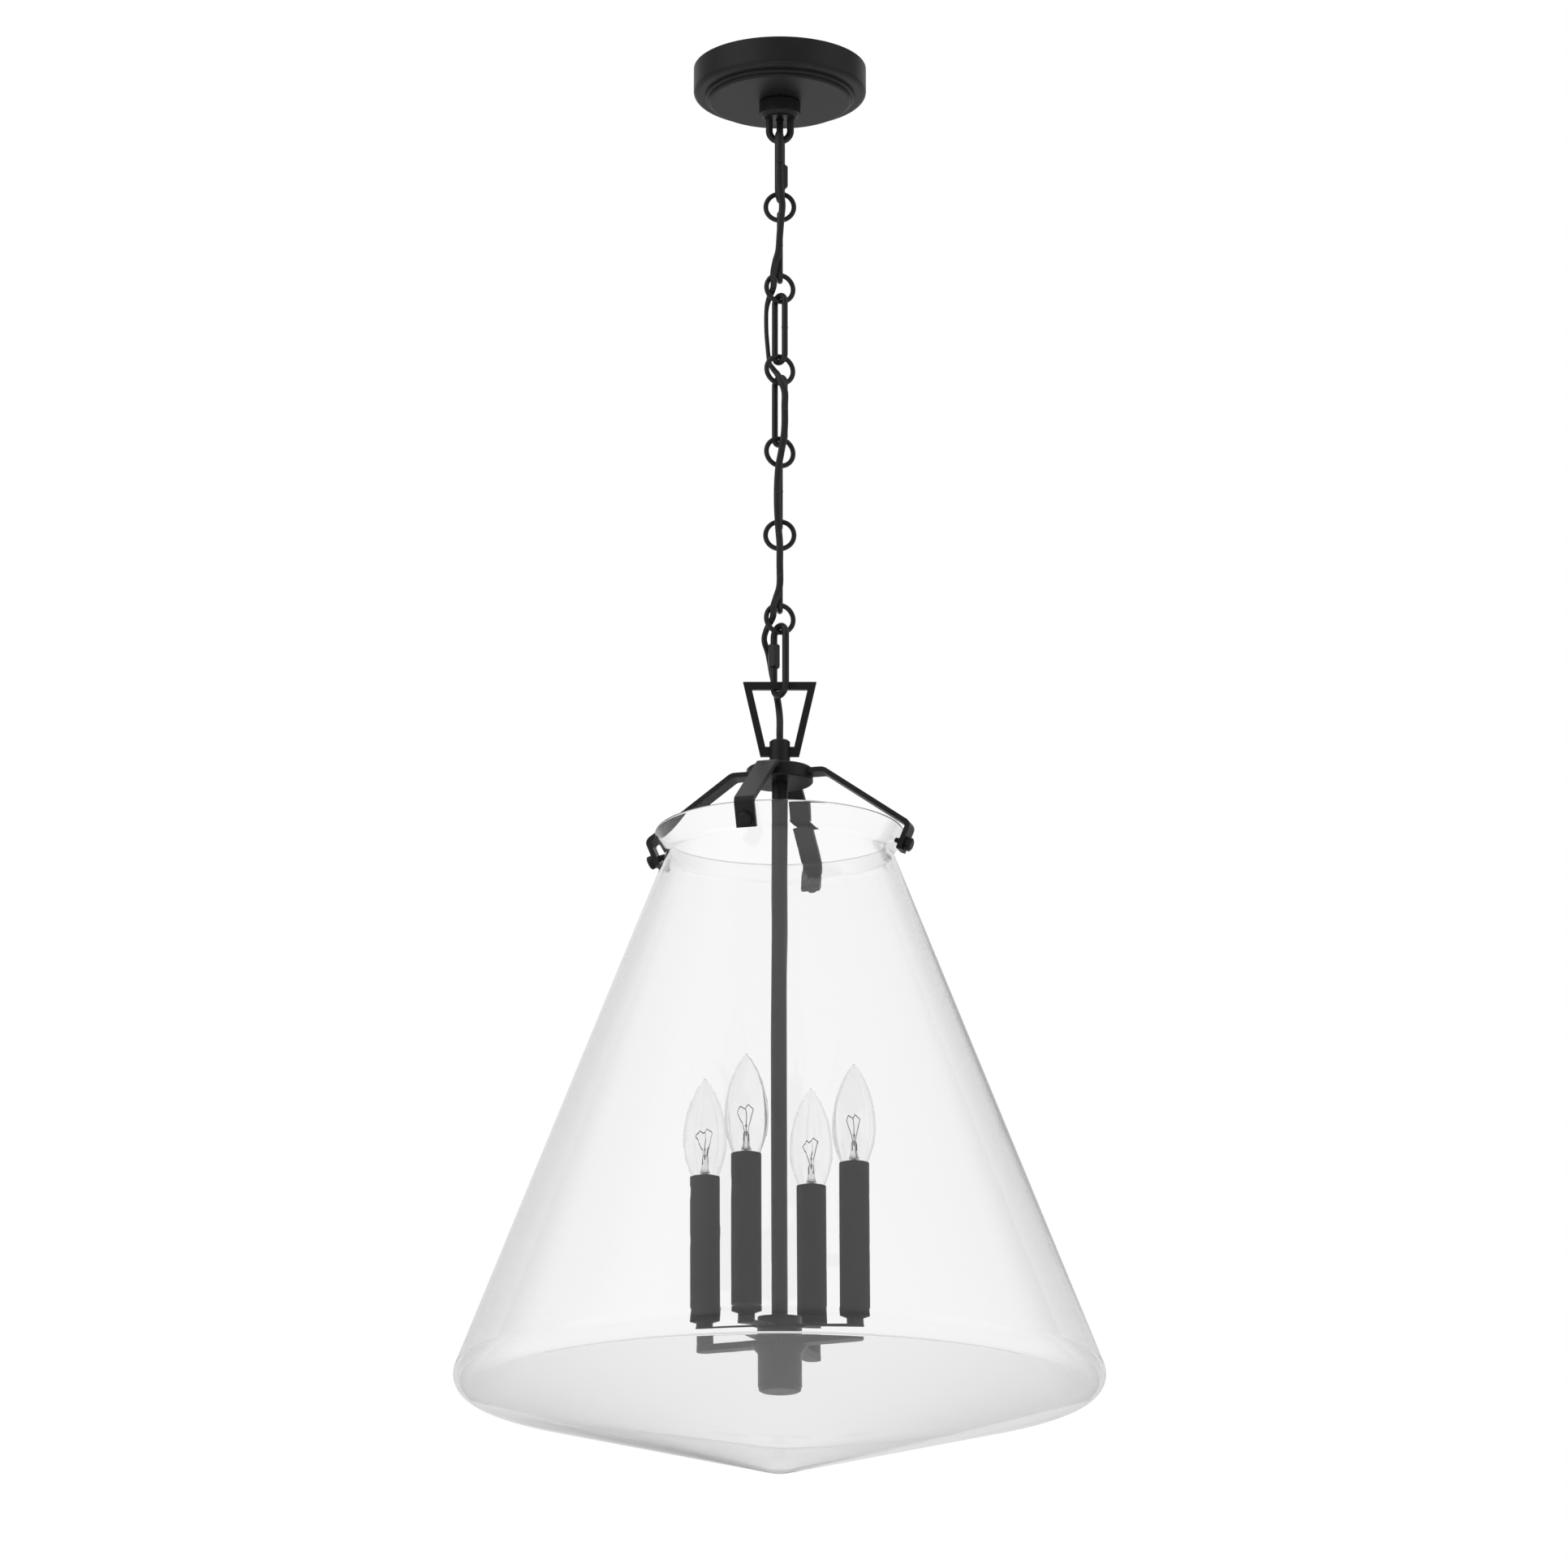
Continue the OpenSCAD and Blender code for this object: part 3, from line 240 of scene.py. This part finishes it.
def makeFinish(name, f):
    mat = bpy.data.materials.new(name)
    mat.use_nodes = True
    tree = mat.node_tree
    shader = tree.nodes["Principled BSDF"]
    shader.inputs["Metallic"].default_value = f.get("metal", 0.0)
    shader.inputs["Specular IOR Level"].default_value = f.get("specular", 0.5)

    def noise(scale, detail):
        tex = tree.nodes.new("ShaderNodeTexNoise")
        tex.inputs["Scale"].default_value = scale
        tex.inputs["Detail"].default_value = detail
        tree.links.new(coords.outputs["Object"], tex.inputs["Vector"])
        return tex

    coords = tree.nodes.new("ShaderNodeTexCoord")
    cloud = noise(coat["cloudScale"], coat["cloudDetail"])    # slow change of shade over the piece
    grain = noise(f["grain"], coat["grainDetail"])            # fine orange peel of the coat
    shade = tree.nodes.new("ShaderNodeMix")
    shade.data_type = "RGBA"
    shade.inputs["A"].default_value = (*f["color"], 1)
    shade.inputs["B"].default_value = (*f["worn"], 1)
    tree.links.new(cloud.outputs["Fac"], shade.inputs["Factor"])
    tree.links.new(shade.outputs["Result"], shader.inputs["Base Color"])
    spread = tree.nodes.new("ShaderNodeMapRange")
    spread.inputs["From Min"].default_value, spread.inputs["From Max"].default_value = coat["grainSpread"]
    spread.inputs["To Min"].default_value = f["rough"][0]
    spread.inputs["To Max"].default_value = f["rough"][1]
    tree.links.new(grain.outputs["Fac"], spread.inputs["Value"])
    tree.links.new(spread.outputs["Result"], shader.inputs["Roughness"])
    bump = tree.nodes.new("ShaderNodeBump")
    bump.inputs["Strength"].default_value = f["bump"]
    bump.inputs["Distance"].default_value = coat["grainDepth"]
    tree.links.new(grain.outputs["Fac"], bump.inputs["Height"])
    if f["edge"]:             # softens the edges as the coat does
        soft = tree.nodes.new("ShaderNodeBevel")
        soft.samples = coat["edgeSamples"]
        soft.inputs["Radius"].default_value = f["edge"]
        tree.links.new(soft.outputs["Normal"], bump.inputs["Normal"])
    tree.links.new(bump.outputs["Normal"], shader.inputs["Normal"])
    return mat


# side is a painted shade colour that the glass turns to where its wall is seen edge-on
glassFinishes = {
    "shadeGlass": dict(tint=(0.970, 0.970, 0.970), side=(0.54, 0.54, 0.54), edgeShadeFrom=0.45, ior=1.46,
                       rough=(0.0, 0.012), ripple=22, bump=0.06),
    "lampGlass": dict(tint=(0.975, 0.975, 0.975), side=(0.50, 0.50, 0.50), edgeShadeFrom=0.5, ior=1.45,
                      rough=(0.0, 0.015), ripple=70, bump=0.01),
    "pressGlass": dict(tint=(0.80, 0.81, 0.81), side=(0.45, 0.45, 0.45), edgeShadeFrom=0.3, ior=1.5,
                       rough=(0.02, 0.06), ripple=300, bump=0.05),
}


def makeGlass(name, g):
    mat = bpy.data.materials.new(name)
    mat.use_nodes = True
    tree = mat.node_tree
    shader = tree.nodes["Principled BSDF"]
    shader.inputs["Transmission Weight"].default_value = 1.0
    facing = tree.nodes.new("ShaderNodeLayerWeight")   # painted shade: the colour turns grey where the wall is seen edge-on, drawing the glass's grey edges
    edgeShade = tree.nodes.new("ShaderNodeMapRange")
    edgeShade.inputs["From Min"].default_value = g["edgeShadeFrom"]
    tree.links.new(facing.outputs["Facing"], edgeShade.inputs["Value"])
    tint = tree.nodes.new("ShaderNodeMix")
    tint.data_type = "RGBA"
    tint.inputs["A"].default_value = (*g["tint"], 1)
    tint.inputs["B"].default_value = (*g["side"], 1)
    tree.links.new(edgeShade.outputs["Result"], tint.inputs["Factor"])
    tree.links.new(tint.outputs["Result"], shader.inputs["Base Color"])
    shader.inputs["IOR"].default_value = g["ior"]
    coords = tree.nodes.new("ShaderNodeTexCoord")
    ripple = tree.nodes.new("ShaderNodeTexNoise")   # slow waviness of blown glass
    ripple.inputs["Scale"].default_value = g["ripple"]
    tree.links.new(coords.outputs["Object"], ripple.inputs["Vector"])
    spread = tree.nodes.new("ShaderNodeMapRange")
    spread.inputs["To Min"].default_value = g["rough"][0]
    spread.inputs["To Max"].default_value = g["rough"][1]
    tree.links.new(ripple.outputs["Fac"], spread.inputs["Value"])
    tree.links.new(spread.outputs["Result"], shader.inputs["Roughness"])
    bump = tree.nodes.new("ShaderNodeBump")
    bump.inputs["Strength"].default_value = g["bump"]
    bump.inputs["Distance"].default_value = coat["rippleDepth"]
    tree.links.new(ripple.outputs["Fac"], bump.inputs["Height"])
    tree.links.new(bump.outputs["Normal"], shader.inputs["Normal"])
    return mat


finish = {name: makeFinish(name, f) for name, f in finishes.items()}
finish.update({name: makeGlass(name, g) for name, g in glassFinishes.items()})
finishOfSlot = {
    "black_metal": "powderCoat", "chain_metal": "chainCoat", "candle_cover": "candleCover",
    "plated_steel": "platedSteel", "brass": "brassFinish", "cord_jacket": "cordJacket",
    "splice_plastic": "splicePlastic", "socket_phenolic": "phenolic", "ground_green": "groundGreen",
    "shade_glass": "shadeGlass", "lamp_glass": "lampGlass",
}
for part in frame["record"]["subparts"]:
    piece = nodes[part["node"]]
    piece.data.materials.clear()
    piece.data.materials.append(finish[finishOfSlot[part["material_slot"]]])
print("finishes ready:", len(finish))

# ---- shared shapes ----

shapes = {
    "mergeWithin": 1e-6,
    "sliverUnder": 1e-7,
    "arcStep": radians(4),
    "arcStepsLeast": 4,
}


def place(name, mesh, finishName):
    obj = bpy.data.objects.new(name, mesh)
    scene.collection.objects.link(obj)
    mesh.materials.append(finish[finishName])
    return obj


def meshOf(name, bm, smooth=True):
    mesh = bpy.data.meshes.new(name)
    bmesh.ops.recalc_face_normals(bm, faces=bm.faces)
    bm.to_mesh(mesh)
    bm.free()
    for face in mesh.polygons:
        face.use_smooth = smooth
    return mesh


# a closed outline of radius and height, turned about the upright axis
def spun(name, outline, steps, finishName, centre=(0, 0, 0)):
    bm = bmesh.new()
    verts = [bm.verts.new((r, 0, z)) for r, z in outline]
    for a, b in zip(verts, verts[1:] + verts[:1]):
        if a.co.x or b.co.x:      # an edge along the axis would be left loose
            bm.edges.new((a, b))
    bmesh.ops.spin(bm, geom=bm.verts[:] + bm.edges[:], cent=(0, 0, 0), axis=up, angle=2 * pi,
                   steps=steps, use_merge=True)
    bmesh.ops.remove_doubles(bm, verts=bm.verts, dist=shapes["mergeWithin"])
    bmesh.ops.dissolve_degenerate(bm, edges=bm.edges, dist=shapes["sliverUnder"])
    bmesh.ops.translate(bm, verts=bm.verts, vec=centre)
    return place(name, meshOf(name, bm), finishName)


def wires(name, paths, radius, finishName, resolution=2):
    curve = bpy.data.curves.new(name, "CURVE")
    curve.dimensions = "3D"
    curve.bevel_depth = radius
    curve.bevel_resolution = resolution
    curve.use_fill_caps = True
    for path in paths:
        spline = curve.splines.new("POLY")
        spline.points.add(len(path) - 1)
        for point, p in zip(spline.points, path):
            point.co = (*p, 1)
    obj = bpy.data.objects.new(name, curve)
    scene.collection.objects.link(obj)
    curve.materials.append(finish[finishName])
    return obj


# the path with its corners rounded, as points with the direction to their left
def roundedPath(path, radii):
    out = []
    for i, (p, r) in enumerate(zip(path, radii)):
        here = Vector(p)
        last = len(path) - 1
        if i in (0, last):
            way = (Vector(path[min(i + 1, last)]) - Vector(path[max(i - 1, 0)])).normalized()
            out.append((here, Vector((-way.y, way.x))))
            continue
        u = (here - Vector(path[i - 1])).normalized()
        v = (Vector(path[i + 1]) - here).normalized()
        turn = atan2(u.x * v.y - u.y * v.x, u.dot(v))
        side = 1 if turn > 0 else -1
        centre = here - u * r * tan(abs(turn) / 2) + Vector((-u.y, u.x)) * side * r
        steps = max(shapes["arcStepsLeast"], ceil(abs(turn) / shapes["arcStep"]))
        for k in range(steps + 1):
            a = turn * k / steps
            n = Vector((u.x * cos(a) - u.y * sin(a), u.x * sin(a) + u.y * cos(a)))
            across = Vector((-n.y, n.x))
            out.append((centre - across * side * r, across))
    return out


# ---- glass shade ----

shade = {
    "wall": 3 * mm,
    "rimWidth": 199 * mm,
    "waistWidth": 182 * mm,
    "waistSink": 0.7 * mm,
    "neckHeight": 18 * mm,
    "width": 508 * mm,
    "height": 421.5 * mm,
    "bottomSlope": radians(14.5),
    "edgeRound": 15 * mm,
    "neckRound": 8 * mm,
    "apexRound": 40 * mm,
    "axisCut": 0.2 * mm,
    "lipSteps": 12,
    "steps": 256,
}


def addShade(s):
    t = s["wall"]
    rimR = s["rimWidth"] / 2 - t / 2
    waistR = s["waistWidth"] / 2 - t / 2 - s["waistSink"]
    edgeMid = s["edgeRound"] - t / 2
    edgeC = s["width"] / 2 - s["edgeRound"]
    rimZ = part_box("glass_shade")[1].z
    waistZ = rimZ - s["neckHeight"]
    edgeZ = waistZ - s["height"]
    slope = s["bottomSlope"]
    lean = atan((edgeC - waistR) / s["height"]) + asin(edgeMid / hypot(edgeC - waistR, s["height"]))
    apexZ = edgeZ - edgeMid * cos(slope) - (edgeC + edgeMid * sin(slope)) * tan(slope)
    crossR = (waistZ - apexZ + waistR / tan(lean)) / (tan(slope) + 1 / tan(lean))
    line = roundedPath(
        [(rimR, rimZ - t / 2), (waistR, waistZ), (crossR, apexZ + crossR * tan(slope)), (0, apexZ),
         (-s["apexRound"], apexZ + s["apexRound"] * tan(slope))],
        [0, s["neckRound"], edgeMid, s["apexRound"], 0])
    # the path runs on past the axis, so it is cut there
    line = [(p, n) for p, n in line if p.x > s["axisCut"]]
    line.append((Vector((0, line[-1][0].y)), Vector((0, -1))))
    first, normal = line[0]
    lip = [first + (normal * cos(a) + Vector((normal.y, -normal.x)) * -sin(a)) * t / 2
           for a in [pi * k / s["lipSteps"] for k in range(1, s["lipSteps"])]]
    left = [p + n * t / 2 for p, n in line]
    right = [p - n * t / 2 for p, n in line]
    outline = [(max(p.x, 0), p.y) for p in left + right[::-1] + lip[::-1]]
    obj = spun("shadeGlassShell", outline, s["steps"], "shadeGlass")
    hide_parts("glass_shade")
    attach(obj, "lantern")


addShade(shade)
print("glass shade ready")

# ---- lamps ----

lamp = {
    "width": 34.3 * mm,
    "height": 80 * mm,
    "neckIn": 2 * mm,
    "neckR": 9.7 * mm,
    "wall": 0.7 * mm,
    "bellyShare": 0.35,
    "tipPower": (2.1, 0.86),
    "rows": 44,
    "rowPower": 1.6,
    "steps": 96,
    "turns": (12, 35, -25, 4),
    # radius and height of the press's outline, and points of the wires, in millimetres over the sleeve's top
    "press": [(0, -1.5), (7.6, -1.5), (7.2, 0), (4.6, 2.5), (3.2, 6), (2.7, 11), (2.5, 15),
              (2.0, 17.2), (1.0, 18), (0, 18.2)],
    "pressSteps": 40,
    "leads": [[(-1.3, 0, 10), (-1.4, 0, 18), (-2.2, 0, 22), (-7.2, 0, 33)],
              [(1.3, 0, 10), (1.4, 0, 18), (2.0, 0, 22), (5.8, 0, 36)],
              [(0, 0, 14), (0, 0, 24), (0.6, 1.0, 30), (0.2, 1.6, 36)]],
    "leadWire": 0.32 * mm,
    "beadRadius": 1.1 * mm,
    "beadFaces": (20, 12),
    "beadAt": (0, 0, 22.5),
    "knots": [(-7.2, 0, 33), (-4.4, 1.2, 38), (-1.2, -0.8, 35.5), (1.6, 1.0, 39.5), (5.8, 0, 36)],
    "filamentWire": 0.24 * mm,
    "coilRadius": 0.3,
    "coilPoints": 40,
    "pointsPerTurn": 5,
}


def lampRadius(l, z):
    belly = l["height"] * l["bellyShare"]
    half = l["width"] / 2
    if z < belly:
        return l["neckR"] + (half - l["neckR"]) * sin(pi / 2 * (z + l["neckIn"]) / (belly + l["neckIn"]))
    share = min((z - belly) / (l["height"] - belly), 1)
    return half * (1 - share ** l["tipPower"][0]) ** l["tipPower"][1]


def addLamp(l, k):
    low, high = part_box(f"candle_sleeve_{k}")
    centre = Vector(((low.x + high.x) / 2, (low.y + high.y) / 2, high.z))
    body = f"lamp_{k}"
    whole = l["height"] + l["neckIn"]
    outer = []
    for i in range(l["rows"] + 1):
        z = -l["neckIn"] + whole * (1 - (1 - i / l["rows"]) ** l["rowPower"])
        outer.append((lampRadius(l, z) if i < l["rows"] else 0, z))
    inR = 1 - l["wall"] / (l["width"] / 2)
    inZ = 1 - l["wall"] / whole
    inner = [(r * inR, (z + l["neckIn"]) * inZ - l["neckIn"]) for r, z in outer[::-1]]
    glass = spun(f"lampBulb{k}", outer + inner, l["steps"], "lampGlass", centre)
    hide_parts(f"lamp_glass_{k}")
    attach(glass, body)
    # flared glass press that carries the wires
    outline = [(r * mm, z * mm) for r, z in l["press"]]
    press = spun(f"lampPress{k}", outline, l["pressSteps"], "pressGlass", centre)
    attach(press, body)
    turn = Matrix.Rotation(radians(l["turns"][k - 1]), 3, "Z")

    def at(x, y, z):
        return centre + turn @ Vector((x * mm, y * mm, z * mm))

    leads = [[at(*point) for point in lead] for lead in l["leads"]]
    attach(wires(f"lampLeads{k}", leads, l["leadWire"], "filamentWire"), body)
    bead = bmesh.new()
    around, along = l["beadFaces"]
    bmesh.ops.create_uvsphere(bead, u_segments=around, v_segments=along, radius=l["beadRadius"])
    bmesh.ops.translate(bead, verts=bead.verts, vec=at(*l["beadAt"]))
    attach(place(f"lampBead{k}", meshOf(f"lampBead{k}", bead), "pressGlass"), body)
    # the filament zigzags over its supports, as a fine coil
    knots = [Vector(p) for p in l["knots"]]
    coil = []
    for a, b in zip(knots, knots[1:]):
        for i in range(l["coilPoints"]):
            t = 2 * pi * i / l["pointsPerTurn"]
            offset = Vector((0, cos(t), sin(t))) * l["coilRadius"]
            coil.append(at(*(a.lerp(b, i / l["coilPoints"]) + offset)))
    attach(wires(f"lampFilament{k}", [coil], l["filamentWire"], "filamentWire", 1), body)


for k in (1, 2, 3, 4):
    addLamp(lamp, k)
print("lamps ready")

# ---- chain details ----

chain = {
    "linkWire": 5.0 * mm,
    "linkHalfWidth": 6.0 * mm,
    "ringRadius": 11.5 * mm,
    "ringWire": 4.0 * mm,
    "quickWire": 5.6 * mm,
    "threadWire": 0.24 * mm,
    "threadPoints": 20,
    "threadPitch": 1.0 * mm,
    "threadLength": 5.0 * mm,
    "threadSink": 0.21 * mm,
    "weldLength": 2.4 * mm,
    "weldSink": 0.3 * mm,
    "weldFoot": 0.02 * mm,
    "weldCrown": 0.16 * mm,
    "weldCrownShare": 0.45,
    "seamRise": 0.04 * mm,
    "seamWidth": 0.3 * mm,
    "roundSteps": 32,
    "seamAt": (140, 25, 200, 65, 40, 170),
}


def turnOf(jointName):
    a = joints[jointName]["axis"]
    return Vector((a[0], a[1], 0)).normalized()


def addWelds(c):
    for i in range(1, 6):
        low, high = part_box(f"link_{i}")
        across = turnOf(f"ring_{i + 1}_swing")
        spot = across * c["linkHalfWidth"] + up * (low.z + high.z) / 2
        r = c["linkWire"] / 2
        half = c["weldLength"] / 2
        flat = half * c["weldCrownShare"]
        under, foot, crown = r - c["weldSink"], r + c["weldFoot"], r + c["weldCrown"]
        shape = [(under, -half), (foot, -half), (crown, -flat), (crown, flat), (foot, half), (under, half)]
        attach(spun(f"linkWeld{i}", shape, c["roundSteps"], "chainCoat", spot), f"link_{i}")


def addSeams(c):
    for i, angle in enumerate(c["seamAt"], 1):
        low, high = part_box(f"ring_{i}")
        child = f"link_{i}_swing" if i < 6 else "quick_link_bottom_swing"
        across = turnOf(child)
        a = radians(angle)
        spot = across * cos(a) * c["ringRadius"] + up * ((low.z + high.z) / 2 + sin(a) * c["ringRadius"])
        way = (across * -sin(a) + up * cos(a)).normalized()
        bm = bmesh.new()
        r = c["ringWire"] / 2 + c["seamRise"]
        bmesh.ops.create_cone(bm, cap_ends=True, segments=c["roundSteps"], radius1=r, radius2=r,
                              depth=c["seamWidth"])
        bmesh.ops.transform(bm, verts=bm.verts, matrix=Matrix.Translation(spot)
                            @ way.to_track_quat("Z", "Y").to_matrix().to_4x4())
        name = f"ringSeam{i}"
        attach(place(name, meshOf(name, bm, False), "seamLine"), f"ring_{i}")


def addThreads(c):
    for end, side in (("top", -1), ("bottom", 1)):
        low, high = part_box(f"quick_sleeve_{end}")
        spot = Vector(((low.x + high.x) / 2, (low.y + high.y) / 2, 0))
        start = high.z if side > 0 else low.z - c["threadLength"]
        points = []
        r = c["quickWire"] / 2 - c["threadSink"]
        for i in range(int(c["threadLength"] / c["threadPitch"] * c["threadPoints"]) + 1):
            turns = i / c["threadPoints"]
            a = 2 * pi * turns
            points.append(spot + Vector((cos(a), sin(a), 0)) * r + up * (start + c["threadPitch"] * turns))
        thread = wires(f"quickThread{end.title()}", [points], c["threadWire"], "chainCoat")
        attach(thread, f"quick_link_{end}")


addWelds(chain)
addSeams(chain)
addThreads(chain)
print("chain details ready")

# ---- supply cord ----

# the cord's route: x, y, z in metres, and the turn of its flat side in degrees
cordRoute = [
    (0, 0, -0.012, 0), (0, 0, -0.026, 0), (0, 0, -0.040, 0), (0, 0, -0.046, 0), (0, -0.004, -0.051, 0),
    (0, -0.010, -0.055, 0), (0, -0.014, -0.062, 0), (0, -0.015, -0.074, 0), (0, -0.015, -0.090, 0),
    (0, -0.014, -0.104, 0), (0.001, -0.012, -0.115, 0), (0.002, -0.011, -0.124, 0),
    (0.001, -0.012, -0.136, 0), (0, -0.013, -0.150, 0), (-0.001, -0.013, -0.164, 0),
    (-0.0034, -0.0125, -0.173, 10), (-0.0052, -0.009, -0.182, 20), (-0.0052, -0.0024, -0.1915, 40),
    (-0.009, 0.004, -0.200, 65), (-0.011, 0.008, -0.209, 90), (-0.011, 0.008, -0.226, 90),
    (-0.010, 0.008, -0.240, 90), (-0.009, 0.0075, -0.250, 80), (-0.008, 0.0045, -0.256, 65),
    (-0.005, -0.002, -0.263, 40), (-0.002, -0.008, -0.269, 20), (0.001, -0.011, -0.276, 0),
    (0.004, -0.012, -0.286, 0), (0.004, -0.013, -0.298, 0), (0.004, -0.013, -0.314, 0),
    (0.003, -0.0125, -0.326, 0), (0.001, -0.012, -0.338, 0), (-0.001, -0.012, -0.350, 0),
    (-0.002, -0.012, -0.366, 0), (-0.002, -0.013, -0.384, 0), (-0.001, -0.012, -0.402, 0),
    (0, -0.012, -0.416, 0), (0, -0.013, -0.432, 0), (0, -0.013, -0.450, 0),
    (-0.0026, -0.0124, -0.460, 0), (-0.005, -0.0086, -0.467, 20), (-0.0056, -0.0022, -0.4742, 40),
    (-0.0104, 0.004, -0.482, 60), (-0.0125, 0.010, -0.490, 60), (-0.009, 0.016, -0.500, 30),
    (-0.006, 0.017, -0.516, 10), (-0.003, 0.014, -0.532, 0), (-0.001, 0.008, -0.546, 0),
    (0, 0.003, -0.558, 0), (0, 0, -0.570, 0), (0, 0, -0.584, 0), (0, 0, -0.620, 0), (0, 0, -0.700, 0),
    (0, 0, -0.800, 0), (0, 0, -0.900, 0), (0, 0, -1.000, 0), (0, 0, -1.060, 0),
]
cord = {
    "lobe": 1.78 * mm,
    "apart": 1.0 * mm,
    "grooveShare": 0.9,
    "grooveTurn": 0.35,
    "lobeShare": 1.25,
    "perSpan": 8,
    "lobePoints": 9,
}


def cordSection(c):
    # the two round cores under one jacket, with the groove between them
    reach = (pi - asin(min(1, c["apart"] / c["lobe"] * c["grooveShare"])) - c["grooveTurn"]) / c["lobeShare"]
    points = []
    for side in (1, -1):
        for k in range(c["lobePoints"]):
            a = -reach + 2 * reach * k / (c["lobePoints"] - 1)
            points.append((side * (c["apart"] + c["lobe"] * cos(a)), side * c["lobe"] * sin(a)))
    return points


# a smooth curve through the route's points, between point i and the next
def splinePoint(i, t):
    last = len(cordRoute) - 1
    a, b, c, d = (Vector(cordRoute[max(0, min(last, i + k))]) for k in (-1, 0, 1, 2))
    return 0.5 * (2 * b + (c - a) * t + (2 * a - 5 * b + 4 * c - d) * t ** 2
                  + (3 * b - a - 3 * c + d) * t ** 3)


def addCord(c):
    line = [splinePoint(i, k / c["perSpan"]) for i in range(len(cordRoute) - 1) for k in range(c["perSpan"])]
    line.append(Vector(cordRoute[-1]))
    section = cordSection(c)
    order = ["ceiling_fitting", "quick_link_top"]
    for i in range(1, 6):
        order += [f"ring_{i}", f"link_{i}"]
    order += ["ring_6", "quick_link_bottom", "lantern"]
    middles = []
    for name in order[1:-1]:
        low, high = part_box(name)
        middles.append((low.z + high.z) / 2)
    rings = []
    for i, p in enumerate(line):
        ahead = line[min(i + 1, len(line) - 1)].xyz
        behind = line[max(i - 1, 0)].xyz
        way = (ahead - behind).normalized()
        a = radians(p.w)
        flat = Vector((cos(a), sin(a), 0))
        wide = (flat - way * flat.dot(way)).normalized()
        thin = way.cross(wide)
        rings.append([p.xyz + wide * x + thin * y for x, y in section])
    # cut the line where the chain's pieces have their middles, so that each stretch bends over one joint
    starts = [0]
    for z in middles:
        starts.append(next(i for i, p in enumerate(line) if p.z <= z))
    starts.append(len(line) - 1)
    for n, (i0, i1) in enumerate(zip(starts, starts[1:])):
        bm = bmesh.new()
        loops = [[bm.verts.new(v) for v in ring] for ring in rings[i0:i1 + 1]]
        count = len(section)
        for one, two in zip(loops, loops[1:]):
            for k in range(count):
                m = (k + 1) % count
                bm.faces.new((one[k], one[m], two[m], two[k]))
        bm.faces.new(loops[0])
        bm.faces.new(loops[-1][::-1])
        name = f"supplyCord{n + 1:02d}"
        obj = place(name, meshOf(name, bm), "cordJacket")
        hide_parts("supply_cord")
        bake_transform(obj)


addCord(cord)
print("supply cord ready")

# ---- size, then the end ----

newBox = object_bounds()
for label, box in (("CAD", cadBox), ("visual", newBox)):
    print(label, "bounds", [tuple(round(x, 4) for x in v) for v in box])
